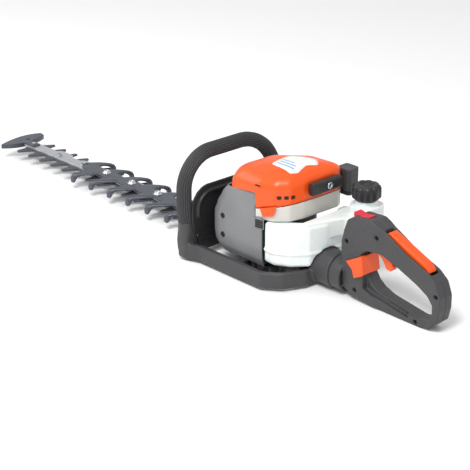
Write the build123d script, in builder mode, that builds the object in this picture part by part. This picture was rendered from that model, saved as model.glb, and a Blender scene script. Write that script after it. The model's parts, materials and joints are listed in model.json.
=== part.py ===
"""Two-stroke hedge trimmer with a double-sided 60 cm cutter bar and a turning rear handle.

Millimetres, +Z up. The cutter bar points along -X and the rear handle along +X, so that -Y
is the operator's left side. The origin is on the flat underside of the gearcase, straight
below the crankshaft's axis.
"""
import os
from math import cos, pi, radians, sin

from build123d import *

os.makedirs("parts", exist_ok=True)

# ---------------------------------------------------------------- driving dimensions
FIT = 0.05                  # radial clearance of a running fit
GAP = 0.3                   # clearance between pieces that only pass each other

# cutter bar
TOOTH_PITCH = 38.0          # spacing of the blade teeth
TOOTH_COUNT = 16            # teeth on each side of a blade
BLADE_TIP_X = -790.0        # front end of the blades
BLADE_T = 2.0               # thickness of one blade
BLADE_HALF = 14.0           # half width of a blade without its teeth
TOOTH_REACH = 38.8          # from the centre line to a tooth's tip
THROW = 8.0                 # eccentric throw: each blade moves this far each way
BOLT_PITCH = 78.0           # spacing of the bolts through the cutter bar
BOLT_COUNT = 7
BOLT_FRONT_X = -691.0       # the foremost bolt
BOLT_R = 3.0
GUARD_PITCH = 57.0          # spacing of the tooth guard's claws
GUARD_COUNT = 8
GUARD_TIP_X = -580.0        # tip of the foremost claw on the left
GUARD_REACH = 51.7          # from the centre line to a claw's tip

# levels of the cutter stack, bottom up
LOWER_BLADE_Z = 22.0
UPPER_BLADE_Z = LOWER_BLADE_Z + BLADE_T + 0.2
GUIDE_Z = UPPER_BLADE_Z + BLADE_T + 0.2
GUIDE_T = 3.5
GUARD_Z = GUIDE_Z + GUIDE_T
GUARD_T = 5.0

# gearcase
GEAR_X = -45.0              # axis of the drive gear, in front of the crankshaft
MODULE = 1.25
PINION_TEETH = 13
GEAR_TEETH = 59
CASE_SPLIT_Z = 20.0
CASE_TOP_Z = 56.0
CASE_R = 49.0               # gearcase round the drive gear
CASE_WALL = 4.0

# engine, with an upright crankshaft and the cylinder pointing forwards
ENGINE_Z = 109.0            # level of the cylinder's axis
BORE_R = 17.0
STROKE = 28.0
ROD_LENGTH = 52.0           # between the connecting rod's two eyes
CRANKCASE_R = 29.5
CLUTCH_CASE_R = 34.0

# covers
COVER_TOP_Z = 199.0         # crown of the starter cover

# handles
LOOP_X = -175.0             # plane of the front loop handle
LOOP_HALF = 110.0           # half width of the loop, on the tube's centre line
LOOP_TOP_Z = 190.0
LOOP_LEFT_R = 62.0
LOOP_RIGHT_R = 88.0
GRIP_R = 13.6
TUBE_R = 8.0
FRAME_BOTTOM_Z = 4.0
FRAME_TOP_Z = 33.0
COLLAR_Z = 33.0             # axis that the rear handle turns about
COLLAR_R = 31.0
COLLAR_X = 98.0             # where the turning side of the collar begins
HANDLE_HALF = 19.0          # half thickness of the rear handle


def write(piece, label):
    """Name a finished piece and write it as its own STEP file."""
    piece.part.label = label
    export_step(piece.part, f"parts/{label}.step")


def bolt_places():
    return [(BOLT_FRONT_X + BOLT_PITCH * i, 0) for i in range(BOLT_COUNT)]


# ================================================================ cutter bar
def tooth_outline(tip_x, side):
    """A slanted blade tooth: the left teeth lean forwards and the right ones backwards."""
    lean = 7.0 * side
    root_y = side * (BLADE_HALF - 1)
    tip_y = side * TOOTH_REACH
    return [
        (tip_x - lean - 10, root_y), (tip_x - 2.8, tip_y), (tip_x + 2.8, tip_y),
        (tip_x - lean + 10, root_y),
    ]


def blade_profile():
    """Outline of one blade. Its rear end is a yoke round an eccentric."""
    with BuildSketch(mode=Mode.PRIVATE) as outline:
        length = GEAR_X - BLADE_TIP_X
        with Locations((BLADE_TIP_X + length / 2, 0)):
            Rectangle(length, 2 * BLADE_HALF)
        for i in range(TOOTH_COUNT):
            left_tip = BLADE_TIP_X + 8 + TOOTH_PITCH * i
            right_tip = left_tip + 22
            for tip_x, side in ((left_tip, -1), (right_tip, 1)):
                with BuildLine():
                    Polyline(*tooth_outline(tip_x, side), close=True)
                make_face()
        with Locations((GEAR_X, 0)):
            RectangleRounded(52, 66, 14)
        with Locations((GEAR_X, 0)):
            RectangleRounded(36, 49, 17.9, mode=Mode.SUBTRACT)
        with Locations(*bolt_places()):
            SlotOverall(2 * (THROW + BOLT_R) + 1.6, 2 * BOLT_R + 0.8, mode=Mode.SUBTRACT)
    return outline.sketch


with BuildPart() as lower_blade:
    with BuildSketch(Plane.XY.offset(LOWER_BLADE_Z)):
        add(blade_profile())
    extrude(amount=BLADE_T)
write(lower_blade, "lower_blade")

with BuildPart() as upper_blade:
    with BuildSketch(Plane.XY.offset(UPPER_BLADE_Z)):
        add(blade_profile())
    extrude(amount=BLADE_T)
write(upper_blade, "upper_blade")

GUIDE_FRONT_X = -798.0
GUIDE_REAR_X = -118.0

with BuildPart() as guide_bar:
    with BuildSketch(Plane.XY.offset(GUIDE_Z)):
        guide_length = GUIDE_REAR_X - GUIDE_FRONT_X
        with Locations(((GUIDE_REAR_X + GUIDE_FRONT_X) / 2, 1)):
            Rectangle(guide_length, 24)
        with Locations(*[(x, 7) for x, _ in bolt_places()]):
            SlotOverall(52, 30)
        with Locations(*bolt_places()):
            Circle(BOLT_R + FIT, mode=Mode.SUBTRACT)
        with Locations((-778, 0), (-126, -7), (-126, 7)):
            Circle(2.5 + FIT, mode=Mode.SUBTRACT)
    extrude(amount=GUIDE_T)
write(guide_bar, "guide_bar")


def claw_places():
    """Tip position and side of every claw of the tooth guard."""
    places = []
    for i in range(GUARD_COUNT):
        tip_x = GUARD_TIP_X + GUARD_PITCH * i
        places += [(tip_x, -1), (tip_x + 5, 1)]
    return [(x, side) for x, side in places if x < GUARD_REAR_X - 20]


def claw_outline(tip_x, side):
    """Plan of a guard claw, wide at its root and leaning like the blade's teeth."""
    lean = 20.0 * side
    root = tip_x - lean
    return [
        (root - 17, side * 10), (root - 15 + lean * 0.3, side * 26),
        (tip_x - 7, side * (GUARD_REACH - 9)), (tip_x - 6, side * GUARD_REACH),
        (tip_x + 6, side * GUARD_REACH), (tip_x + 7, side * (GUARD_REACH - 9)),
        (root + 12 + lean * 0.3, side * 26), (root + 17, side * 10),
    ]


HOOK_Z = 14.0               # lowest point of the claws' bent tips
GUARD_REAR_X = -165.0
GUARD_BOLTS = [place for place in bolt_places() if place[0] > GUARD_TIP_X]

with BuildPart() as tooth_guard:
    guard_front = GUARD_TIP_X - 24
    with BuildSketch(Plane.XY.offset(GUARD_Z)):
        with Locations(((guard_front + GUARD_REAR_X) / 2, 0)):
            Rectangle(GUARD_REAR_X - guard_front, 30)
        for tip_x, side in claw_places():
            with BuildLine():
                Polyline(*claw_outline(tip_x, side), close=True)
            make_face()
    extrude(amount=GUARD_T)
    for tip_x, side in claw_places():
        with BuildSketch(Plane.XY.offset(HOOK_Z)):
            with Locations((tip_x, side * (GUARD_REACH - 4.5))):
                RectangleRounded(12, 9, 3)
        extrude(amount=GUARD_Z - HOOK_Z + 1)
    with BuildSketch(Plane.XY.offset(GUARD_Z)):
        with Locations(*GUARD_BOLTS):
            Circle(6.2)
    extrude(amount=GUARD_T, mode=Mode.SUBTRACT)
write(tooth_guard, "tooth_guard")

BOLT_END_Z = 15.0
TIP_SCREW_X = -778.0         # screw that holds the tip guard on the guide bar

with BuildPart() as blade_bolts:
    for x, y in bolt_places():
        with BuildSketch(Plane.XY.offset(BOLT_END_Z)):
            with Locations((x, y)):
                Circle(BOLT_R)
        extrude(amount=GUIDE_Z + GUIDE_T - BOLT_END_Z)
        with BuildSketch(Plane.XY.offset(GUIDE_Z + GUIDE_T)):
            with Locations((x, y)):
                Circle(5.6)
                RegularPolygon(2.6, 6, major_radius=False, mode=Mode.SUBTRACT)
        extrude(amount=4.2)
        with BuildSketch(Plane.XY.offset(GUIDE_Z + GUIDE_T)):
            with Locations((x, y)):
                Circle(5.6)
        extrude(amount=1.2)
    for z, r, height in ((GUIDE_Z, 2.5, GUIDE_T + 3.0), (GUIDE_Z + GUIDE_T + 3.0, 4.4, 2.4)):
        with BuildSketch(Plane.XY.offset(z)):
            with Locations((TIP_SCREW_X, 0)):
                Circle(r)
        extrude(amount=height)
write(blade_bolts, "blade_bolts")

with BuildPart() as blade_nuts:
    for x, y in bolt_places():
        with BuildSketch(Plane.XY.offset(BOLT_END_Z + 0.8)):
            with Locations((x, y)):
                RegularPolygon(5.0, 6, major_radius=False)
                Circle(BOLT_R + FIT, mode=Mode.SUBTRACT)
        extrude(amount=5.0)
        with BuildSketch(Plane.XY.offset(BOLT_END_Z + 5.8)):
            with Locations((x, y)):
                Circle(6.6)
                Circle(BOLT_R + FIT, mode=Mode.SUBTRACT)
        extrude(amount=1.0)
write(blade_nuts, "blade_nuts")

TIP_GUARD_Z = 23.0

with BuildPart() as tip_guard:
    with BuildSketch(Plane.XY.offset(TIP_GUARD_Z)):
        with BuildLine():
            Spline((-822, -53), (-835, -12), (-837, 20), (-826, 53))
            Line((-826, 53), (-812, 50))
            Spline((-812, 50), (-801, 22), (-800, -14), (-822, -53))
        make_face()
        with Locations((-811, 9)):
            Circle(4.0, mode=Mode.SUBTRACT)
    extrude(amount=GUIDE_Z + GUIDE_T - TIP_GUARD_Z)
    with BuildSketch(Plane.XY.offset(GUIDE_Z + GUIDE_T)):
        with BuildLine():
            Spline((-822, -53), (-835, -12), (-837, 20), (-826, 53))
            Line((-826, 53), (-812, 50))
            Spline((-812, 50), (-801, 22), (-800, -14), (-822, -53))
        make_face()
        with Locations((-790, 0)):
            RectangleRounded(44, 20, 4)
        with Locations((-811, 9)):
            Circle(4.0, mode=Mode.SUBTRACT)
        with Locations((-778, 0)):
            Circle(2.5 + FIT, mode=Mode.SUBTRACT)
    extrude(amount=3.0)
write(tip_guard, "tip_guard")


# ================================================================ gearcase
def case_outline(grow=0.0):
    """Plan of the gearcase: round the drive gear, round the clutch, and a snout for the bar."""
    with BuildSketch(mode=Mode.PRIVATE) as outline:
        with Locations((GEAR_X, 0)):
            Circle(CASE_R + grow)
        with Locations((0, 0)):
            Circle(36 + grow)
        with Locations((-115, 0)):
            RectangleRounded(70 + 2 * grow, 48 + 2 * grow, 6)
        with Locations((-20, 0)):
            Rectangle(50, 72 + 2 * grow)
    return outline.sketch


CASE_SCREWS = [(-142, -17), (-142, 17), (-88, -33), (-88, 33), (30, -28), (30, 28)]

DAMPER_XS = (-62.0, -20.0)   # rubber dampers between the gearcase and the frame
DAMPER_INNER_Y = 60.0
DAMPER_Z = 11.0

with BuildPart() as gearcase_lower:
    with BuildSketch():
        add(case_outline())
        with Locations(*CASE_SCREWS):
            Circle(6.5)
        with Locations(*[(x, side * 46) for x in DAMPER_XS for side in (-1, 1)]):
            Rectangle(20, 2 * (DAMPER_INNER_Y - 46))
    extrude(amount=CASE_SPLIT_Z)
    with BuildSketch(Plane.XY.offset(CASE_SPLIT_Z)):
        with Locations((GEAR_X, 0)):
            Circle(CASE_R - CASE_WALL)
        Circle(12)
    extrude(amount=-18, mode=Mode.SUBTRACT)
    with BuildSketch(Plane.XY.offset(CASE_SPLIT_Z)):
        with Locations((-115, 0)):
            Rectangle(90, 32)
    extrude(amount=-4.5, mode=Mode.SUBTRACT)
    with BuildSketch(Plane.XY.offset(CASE_SPLIT_Z - 18)):
        with Locations((GEAR_X, 0)):
            Circle(9 + 0.02)
    extrude(amount=-4, mode=Mode.SUBTRACT)
    with BuildSketch(Plane.XY.offset(CASE_SPLIT_Z)):
        with Locations(*CASE_SCREWS):
            Circle(1.9)
    extrude(amount=-16, mode=Mode.SUBTRACT)
write(gearcase_lower, "gearcase_lower")

with BuildPart() as gearcase_upper:
    with BuildSketch(Plane.XY.offset(CASE_SPLIT_Z)):
        add(case_outline())
        with Locations(*CASE_SCREWS):
            Circle(6.5)
    extrude(amount=CASE_TOP_Z - CASE_SPLIT_Z)
    with BuildSketch(Plane.XY.offset(CASE_SPLIT_Z)):
        with Locations((GEAR_X, 0)):
            Circle(CASE_R - CASE_WALL)
        Circle(12)
        with Locations((-12, 0)):
            Rectangle(24, 24)
    extrude(amount=28, mode=Mode.SUBTRACT)
    with BuildSketch(Plane.XY.offset(CASE_SPLIT_Z)):
        with Locations((-125, 0)):
            Rectangle(110, 34)
    extrude(amount=GUIDE_Z + GUIDE_T - CASE_SPLIT_Z, mode=Mode.SUBTRACT)
    with BuildSketch(Plane.XY.offset(CASE_SPLIT_Z + 28)):
        with Locations((GEAR_X, 0)):
            Circle(9 + 0.02)
    extrude(amount=4, mode=Mode.SUBTRACT)
    with BuildSketch(Plane.XY.offset(CASE_SPLIT_Z + 28)):
        Circle(9 + 0.02)
    extrude(amount=8, mode=Mode.SUBTRACT)
    with BuildSketch(Plane.XY.offset(CASE_SPLIT_Z)):
        with Locations(*CASE_SCREWS):
            Circle(2.3)
    extrude(amount=CASE_TOP_Z - CASE_SPLIT_Z, mode=Mode.SUBTRACT)
    with BuildSketch(Plane.XY.offset(CASE_TOP_Z)):
        with Locations((-126, 0)):
            Rectangle(40, 30)
    extrude(amount=-12, mode=Mode.SUBTRACT)
    with BuildSketch(Plane.XY.offset(GUIDE_Z + GUIDE_T)):
        with Locations((-126, -7), (-126, 7)):
            Circle(2.5 + FIT)
    extrude(amount=20, mode=Mode.SUBTRACT)
write(gearcase_upper, "gearcase_upper")

with BuildPart() as gearcase_screws:
    for x, y in CASE_SCREWS:
        with BuildSketch(Plane.XY.offset(CASE_SPLIT_Z - 14)):
            with Locations((x, y)):
                Circle(1.9 - 0.02)
        extrude(amount=CASE_TOP_Z - CASE_SPLIT_Z + 14)
        with BuildSketch(Plane.XY.offset(CASE_TOP_Z)):
            with Locations((x, y)):
                Circle(4.2)
                RegularPolygon(2.0, 6, major_radius=False, mode=Mode.SUBTRACT)
        extrude(amount=4)
    for y in (-7, 7):
        with BuildSketch(Plane.XY.offset(GUIDE_Z)):
            with Locations((-126, y)):
                Circle(2.5)
        extrude(amount=CASE_TOP_Z - 12 - GUIDE_Z)
        with BuildSketch(Plane.XY.offset(CASE_TOP_Z - 12)):
            with Locations((-126, y)):
                Circle(4.6)
        extrude(amount=4)
write(gearcase_screws, "gearcase_screws")


def gear_profile(teeth, backlash, phase):
    """Plan of a spur gear with straight-sided teeth, close to an involute."""
    pitch_r = MODULE * teeth / 2
    outer_r = pitch_r + 0.95 * MODULE
    root_r = pitch_r - 1.2 * MODULE
    half_pitch = pi / teeth
    points = []
    for i in range(teeth):
        middle = 2 * half_pitch * i + phase
        for r, half in (
            (root_r, half_pitch * 0.80), (pitch_r, half_pitch * 0.5 - backlash / pitch_r),
            (outer_r, half_pitch * 0.20),
        ):
            points.append((r, middle - half))
        for r, half in (
            (outer_r, half_pitch * 0.20), (pitch_r, half_pitch * 0.5 - backlash / pitch_r),
            (root_r, half_pitch * 0.80),
        ):
            points.append((r, middle + half))
    with BuildSketch(mode=Mode.PRIVATE) as outline:
        with BuildLine():
            Polyline(*[(r * cos(a), r * sin(a)) for r, a in points], close=True)
        make_face()
    return outline.sketch


GEAR_Z = 34.0
GEAR_T = 8.0
GEAR_SHAFT_R = 5.0
GEAR_SHAFT_FOOT_Z = 0.3
ECCENTRIC_R = 16.0

with BuildPart() as drive_gear:
    # the gear's tooth at angle zero points at the pinion
    with BuildSketch(Plane.XY.offset(GEAR_Z)):
        with Locations((GEAR_X, 0)):
            add(gear_profile(GEAR_TEETH, 0.12, 0))
    extrude(amount=GEAR_T)
    with BuildSketch(Plane.XY.offset(GEAR_Z)):
        with Locations((GEAR_X, 0)):
            with PolarLocations(24, 6):
                Circle(5.5)
    extrude(amount=GEAR_T, mode=Mode.SUBTRACT)
    for z, height, side in (
        (UPPER_BLADE_Z, GEAR_Z - UPPER_BLADE_Z, 1),
        (LOWER_BLADE_Z - 0.3, UPPER_BLADE_Z - LOWER_BLADE_Z + 0.3, -1),
    ):
        with BuildSketch(Plane.XY.offset(z)):
            with Locations((GEAR_X, side * THROW)):
                Circle(ECCENTRIC_R)
        extrude(amount=height)
    with BuildSketch(Plane.XY.offset(GEAR_SHAFT_FOOT_Z)):
        with Locations((GEAR_X, 0)):
            Circle(GEAR_SHAFT_R)
    extrude(amount=CASE_SPLIT_Z + 31 - GEAR_SHAFT_FOOT_Z)
write(drive_gear, "drive_gear")


def bearing(z, x, inner_r, outer_r, height):
    """A plain closed ball bearing, as one ring with a groove in each face."""
    with BuildPart(mode=Mode.PRIVATE) as ring:
        with BuildSketch(Plane.XY.offset(z)):
            with Locations((x, 0)):
                Circle(outer_r)
                Circle(inner_r, mode=Mode.SUBTRACT)
        extrude(amount=height)
        for level, depth in ((z, 0.5), (z + height, -0.5)):
            with BuildSketch(Plane.XY.offset(level)):
                with Locations((x, 0)):
                    Circle(inner_r + (outer_r - inner_r) * 0.7)
                    Circle(inner_r + (outer_r - inner_r) * 0.35, mode=Mode.SUBTRACT)
            extrude(amount=depth, mode=Mode.SUBTRACT)
    return ring.part


# ================================================================ clutch
CLUTCH_Z = CASE_TOP_Z
DRUM_R = 28.0

with BuildPart() as clutch_housing:
    with BuildSketch(Plane.XY.offset(CASE_TOP_Z)):
        Circle(CLUTCH_CASE_R)
        Circle(DRUM_R + 2, mode=Mode.SUBTRACT)
    extrude(amount=22)
    with BuildSketch(Plane.XY.offset(CASE_TOP_Z + 22)):
        Circle(CLUTCH_CASE_R)
        Circle(9, mode=Mode.SUBTRACT)
    extrude(amount=3)
write(clutch_housing, "clutch_housing")

with BuildPart() as clutch_drum:
    with BuildSketch(Plane.XY.offset(GEAR_Z - 1)):
        add(gear_profile(PINION_TEETH, 0.12, pi - pi / PINION_TEETH))
    extrude(amount=GEAR_T + 2)
    with BuildSketch(Plane.XY.offset(GEAR_Z + GEAR_T + 1)):
        Circle(5)
    extrude(amount=CLUTCH_Z + 2 - (GEAR_Z + GEAR_T + 1))
    with BuildSketch(Plane.XY.offset(CLUTCH_Z + 1)):
        Circle(DRUM_R)
    extrude(amount=18)
    with BuildSketch(Plane.XY.offset(CLUTCH_Z + 3)):
        Circle(DRUM_R - 2)
    extrude(amount=16, mode=Mode.SUBTRACT)
write(clutch_drum, "clutch_drum")

with BuildPart() as clutch_shoes:
    for angle in (0, 180):
        with BuildSketch(Plane.XY.offset(CLUTCH_Z + 5)):
            Circle(DRUM_R - 2 - 1.2)
            Circle(9, mode=Mode.SUBTRACT)
            with Locations((0, 20 if angle else -20)):
                Rectangle(60, 44, mode=Mode.SUBTRACT)
        extrude(amount=9)
write(clutch_shoes, "clutch_shoes")

# ================================================================ engine
CRANKCASE_Z = CASE_TOP_Z + 25.0
CRANKCASE_TOP_Z = 2 * ENGINE_Z - CRANKCASE_Z
CAVITY_R = 25.0
CRANK_THROW = STROKE / 2
WRIST_X = -(CRANK_THROW + ROD_LENGTH)   # wrist pin at top dead centre
CRANK_PIN_R = 4.0
ROD_ROOM_R = 27.7             # slot round the crank for the rod's big end
ROD_ROOM_Z = 4.6
WEB_R = 21.0
SHAFT_R = 6.0

with BuildPart() as crankcase:
    with BuildSketch(Plane.XY.offset(CRANKCASE_Z)):
        Circle(CRANKCASE_R)
        with Locations((-24, 0)):
            Rectangle(20, 52)
    extrude(amount=CRANKCASE_TOP_Z - CRANKCASE_Z)
    with BuildSketch(Plane.XY.offset(CRANKCASE_Z + 6)):
        Circle(CAVITY_R)
    extrude(amount=CRANKCASE_TOP_Z - CRANKCASE_Z - 12, mode=Mode.SUBTRACT)
    with BuildSketch(Plane.XY.offset(CRANKCASE_Z)):
        Circle(12)
    extrude(amount=CRANKCASE_TOP_Z - CRANKCASE_Z, mode=Mode.SUBTRACT)
    with BuildSketch(Plane.YZ.offset(-40)):
        with Locations((0, ENGINE_Z)):
            Circle(BORE_R + 2.5)
    extrude(amount=30, mode=Mode.SUBTRACT)
    # room for the rod's big end at full swing
    with BuildSketch(Plane.XY.offset(ENGINE_Z - ROD_ROOM_Z)):
        Circle(ROD_ROOM_R)
        with Locations((-17, 0)):
            Rectangle(34, 47)
    extrude(amount=2 * ROD_ROOM_Z, mode=Mode.SUBTRACT)
write(crankcase, "crankcase")

with BuildPart() as bearings:
    add(bearing(GEAR_SHAFT_FOOT_Z, GEAR_X, GEAR_SHAFT_R + FIT, 9, 1.7))
    add(bearing(CASE_SPLIT_Z + 28, GEAR_X, GEAR_SHAFT_R + FIT, 9, 4))
    add(bearing(CASE_SPLIT_Z + 29, 0, 5 + FIT, 9, 6))
    add(bearing(CRANKCASE_Z + 0.5, 0, SHAFT_R + FIT, 12, 5))
    add(bearing(CRANKCASE_TOP_Z - 5.5, 0, SHAFT_R + FIT, 12, 5))
write(bearings, "bearings")

with BuildPart() as crankshaft:
    for near_z, far_z, web_z in (
        (CLUTCH_Z + 5, ENGINE_Z - 17, ENGINE_Z - 17),
        (ENGINE_Z + 9, CRANKCASE_TOP_Z + 16, ENGINE_Z + 9),
    ):
        with BuildSketch(Plane.XY.offset(near_z)):
            Circle(SHAFT_R)
        extrude(amount=far_z - near_z)
        with BuildSketch(Plane.XY.offset(web_z)):
            Circle(WEB_R)
            with Locations((-CRANK_THROW, 0)):
                Circle(CRANK_PIN_R + 0.6, mode=Mode.SUBTRACT)
            with Locations((-CRANK_THROW, 15), (-CRANK_THROW, -15)):
                Circle(7, mode=Mode.SUBTRACT)
        extrude(amount=8)
    with BuildSketch(Plane.XY.offset(CLUTCH_Z + 4)):
        Circle(9 - FIT)
    extrude(amount=12)
write(crankshaft, "crankshaft")

FLYWHEEL_Z = CRANKCASE_TOP_Z + 2.5
FLYWHEEL_R = 29.0
FLYWHEEL_T = 15.0

with BuildPart() as flywheel:
    with BuildSketch(Plane.XY.offset(FLYWHEEL_Z)):
        Circle(FLYWHEEL_R)
        Circle(SHAFT_R + 0.02, mode=Mode.SUBTRACT)
    extrude(amount=5)
    with BuildSketch(Plane.XY.offset(FLYWHEEL_Z)):
        Circle(12)
        Circle(SHAFT_R + 0.02, mode=Mode.SUBTRACT)
    extrude(amount=FLYWHEEL_T)
    with BuildSketch(Plane.XY.offset(FLYWHEEL_Z)):
        with PolarLocations(FLYWHEEL_R - 7.5, 14):
            Rectangle(12, 2.2, rotation=25)
    extrude(amount=FLYWHEEL_T)
write(flywheel, "flywheel")

with BuildPart() as cylinder:
    with BuildSketch(Plane.YZ.offset(-40)):
        with Locations((0, ENGINE_Z)):
            Circle(BORE_R + 5)
            RectangleRounded(52, 52, 4)
    extrude(amount=6)
    with BuildSketch(Plane.YZ.offset(-92)):
        with Locations((0, ENGINE_Z)):
            Circle(BORE_R + 5)
    extrude(amount=58)
    for i in range(10):
        with BuildSketch(Plane.YZ.offset(-102 + 6 * i)):
            with Locations((0, ENGINE_Z)):
                RectangleRounded(64, 60, 8)
        extrude(amount=2)
    with BuildSketch(Plane.YZ.offset(-102)):
        with Locations((0, ENGINE_Z)):
            Circle(14)
    extrude(amount=12)
    with BuildSketch(Plane.YZ.offset(-30)):
        with Locations((0, ENGINE_Z)):
            Circle(BORE_R + 2.4)
    extrude(amount=-12)
    with BuildSketch(Plane.YZ.offset(-82)):
        with Locations((0, ENGINE_Z)):
            Circle(BORE_R)
    extrude(amount=60, mode=Mode.SUBTRACT)
    with BuildSketch(Plane.YZ.offset(-103)):
        with Locations((0, ENGINE_Z)):
            Circle(5.02)
    extrude(amount=22, mode=Mode.SUBTRACT)
write(cylinder, "cylinder")

with BuildPart() as piston:
    with BuildSketch(Plane.YZ.offset(WRIST_X - 14)):
        with Locations((0, ENGINE_Z)):
            Circle(BORE_R - FIT)
    extrude(amount=28)
    with BuildSketch(Plane.YZ.offset(WRIST_X - 10)):
        with Locations((0, ENGINE_Z)):
            Circle(BORE_R - 3)
    extrude(amount=26, mode=Mode.SUBTRACT)
    with BuildSketch(Plane.XY.offset(ENGINE_Z - BORE_R)):
        with Locations((WRIST_X, 0)):
            Circle(4 + 0.02)
    extrude(amount=2 * BORE_R, mode=Mode.SUBTRACT)
    for groove_x in (WRIST_X - 12.4, WRIST_X - 9.2):
        with BuildSketch(Plane.YZ.offset(groove_x)):
            with Locations((0, ENGINE_Z)):
                Circle(BORE_R + 1)
                Circle(BORE_R - 1.4, mode=Mode.SUBTRACT)
        extrude(amount=1.2, mode=Mode.SUBTRACT)
write(piston, "piston")

with BuildPart() as wrist_pin:
    with BuildSketch(Plane.XY.offset(ENGINE_Z - 15)):
        with Locations((WRIST_X, 0)):
            Circle(4)
            Circle(2.2, mode=Mode.SUBTRACT)
    extrude(amount=30)
write(wrist_pin, "wrist_pin")

with BuildPart() as connecting_rod:
    with BuildSketch(Plane.XY.offset(ENGINE_Z - 4)):
        with Locations((WRIST_X, 0)):
            Circle(7.5)
        with Locations((-CRANK_THROW, 0)):
            Circle(8.5)
        with Locations(((WRIST_X - CRANK_THROW) / 2, 0)):
            Rectangle(ROD_LENGTH - 8, 8)
        with Locations((WRIST_X, 0)):
            Circle(4 + FIT, mode=Mode.SUBTRACT)
        with Locations((-CRANK_THROW, 0)):
            Circle(CRANK_PIN_R + 0.01, mode=Mode.SUBTRACT)
    extrude(amount=8)
write(connecting_rod, "connecting_rod")

with BuildPart() as crank_pin:
    # the pin stops short of both webs: the linkage is open here
    with BuildSketch(Plane.XY.offset(ENGINE_Z - 9 + GAP)):
        with Locations((-CRANK_THROW, 0)):
            Circle(CRANK_PIN_R)
    extrude(amount=18 - 2 * GAP)
write(crank_pin, "crank_pin")

with BuildPart() as spark_plug:
    with BuildSketch(Plane.YZ.offset(-100)):
        with Locations((0, ENGINE_Z)):
            Circle(5)
    extrude(amount=16)
    with BuildSketch(Plane.YZ.offset(-108)):
        with Locations((0, ENGINE_Z)):
            RegularPolygon(8, 6)
    extrude(amount=6)
    with BuildSketch(Plane.YZ.offset(-124)):
        with Locations((0, ENGINE_Z)):
            Circle(4)
    extrude(amount=16)
write(spark_plug, "spark_plug")

with BuildPart() as spark_plug_cap:
    with BuildSketch(Plane.YZ.offset(-128)):
        with Locations((0, ENGINE_Z)):
            Circle(8)
    extrude(amount=19)
    with BuildSketch(Plane.XY.offset(ENGINE_Z)):
        with Locations((-121, 0)):
            Circle(4)
    extrude(amount=14)
    with BuildSketch(Plane.YZ.offset(-125)):
        with Locations((0, ENGINE_Z)):
            Circle(4.02)
    extrude(amount=17, mode=Mode.SUBTRACT)
write(spark_plug_cap, "spark_plug_cap")

with BuildPart() as muffler:
    with BuildSketch(Plane.XZ.offset(36)):
        with Locations((-78, 94)):
            RectangleRounded(64, 62, 10)
    extrude(amount=36)
    with BuildSketch(Plane.XZ.offset(32.2)):
        with Locations((-66, ENGINE_Z)):
            RectangleRounded(30, 22, 4)
    extrude(amount=3.8)
    with BuildSketch(Plane.XZ.offset(72)):
        with Locations((-78, 94)):
            RectangleRounded(60, 58, 9)
    extrude(amount=-34, mode=Mode.SUBTRACT)
    with BuildSketch(Plane.XZ.offset(70)):
        with Locations((-78, 94)):
            RectangleRounded(62, 60, 9.5)
            with Locations((-25, -20)):
                Circle(5, mode=Mode.SUBTRACT)
    extrude(amount=2)
write(muffler, "muffler")

with BuildPart() as intake_manifold:
    with BuildSketch(Plane.XZ.offset(-32.2)):
        with Locations((-66, ENGINE_Z)):
            RectangleRounded(38, 26, 4)
            Circle(7, mode=Mode.SUBTRACT)
    extrude(amount=-14)
write(intake_manifold, "intake_manifold")

with BuildPart() as carburettor:
    with BuildSketch(Plane.XZ.offset(-46.4)):
        with Locations((-66, ENGINE_Z)):
            RectangleRounded(38, 34, 3)
            Circle(7, mode=Mode.SUBTRACT)
    extrude(amount=-26)
    with BuildSketch(Plane.XY.offset(ENGINE_Z - 24)):
        with Locations((-66, 59)):
            Circle(11)
    extrude(amount=8)
    # room for the primer bulb when it is pressed in
    with BuildSketch(Plane.XY.offset(ENGINE_Z - 24)):
        with Locations((-66, 59)):
            Circle(9.4)
    extrude(amount=4, mode=Mode.SUBTRACT)
write(carburettor, "carburettor")

with BuildPart() as primer_bulb:
    with BuildSketch(Plane.XY.offset(ENGINE_Z - 32)):
        with Locations((-66, 59)):
            Circle(9)
    extrude(amount=7.6)
    fillet(primer_bulb.edges().group_by(Axis.Z)[0], 5)
write(primer_bulb, "primer_bulb")

with BuildPart() as choke_lever:
    with BuildSketch(Plane.XZ.offset(-72.8)):
        with Locations((-52, ENGINE_Z + 10)):
            Circle(5)
        with Locations((-44, ENGINE_Z + 10)):
            RectangleRounded(28, 5, 2.4)
    extrude(amount=-3)
write(choke_lever, "choke_lever")

with BuildPart() as ignition_coil:
    with BuildSketch(Plane.XY.offset(CRANKCASE_TOP_Z + 3)):
        with Locations((0, FLYWHEEL_R + 7)):
            RectangleRounded(34, 9, 3)
    extrude(amount=12)
write(ignition_coil, "ignition_coil")

# ================================================================ covers
SKIN = 2.5
COVER_REAR_X = 33.0
COVER_PLAN = [
    (-108, -36), (-82, -74), (-24, -80), (8, -70), (26, -50), (COVER_REAR_X - 1, -22),
    (COVER_REAR_X, 60), (25, 76), (-40, 76), (-108, 24),
]
FRONT_PLAN = [
    (-27, -80), (-119, -80), (-150, -52), (-150, 12), (-124, 38), (-27, 38),
]
FRONT_SIDE = [
    (-27, 36), (-130, 36), (-148, 46), (-150, 100), (-133, 134), (-98, 151), (-27, 160),
]


def plan(points, radius, inset=0.0, centre=(0, 0), factor=1.0):
    """A rounded outline, drawn smaller about a centre and then inset."""
    cx, cy = centre
    with BuildSketch(mode=Mode.PRIVATE) as outline:
        with BuildLine():
            Polyline(
                *[(cx + factor * (x - cx), cy + factor * (y - cy)) for x, y in points],
                close=True,
            )
        make_face()
        fillet(outline.vertices(), radius * factor)
        if inset:
            offset(amount=-inset)
    return outline.sketch


CROWN = (-4, 0)
CROWN_LEVELS = [(172, 1.0), (188, 0.85), (COVER_TOP_Z, 0.50)]
COVER_CORNER = 10


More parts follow.
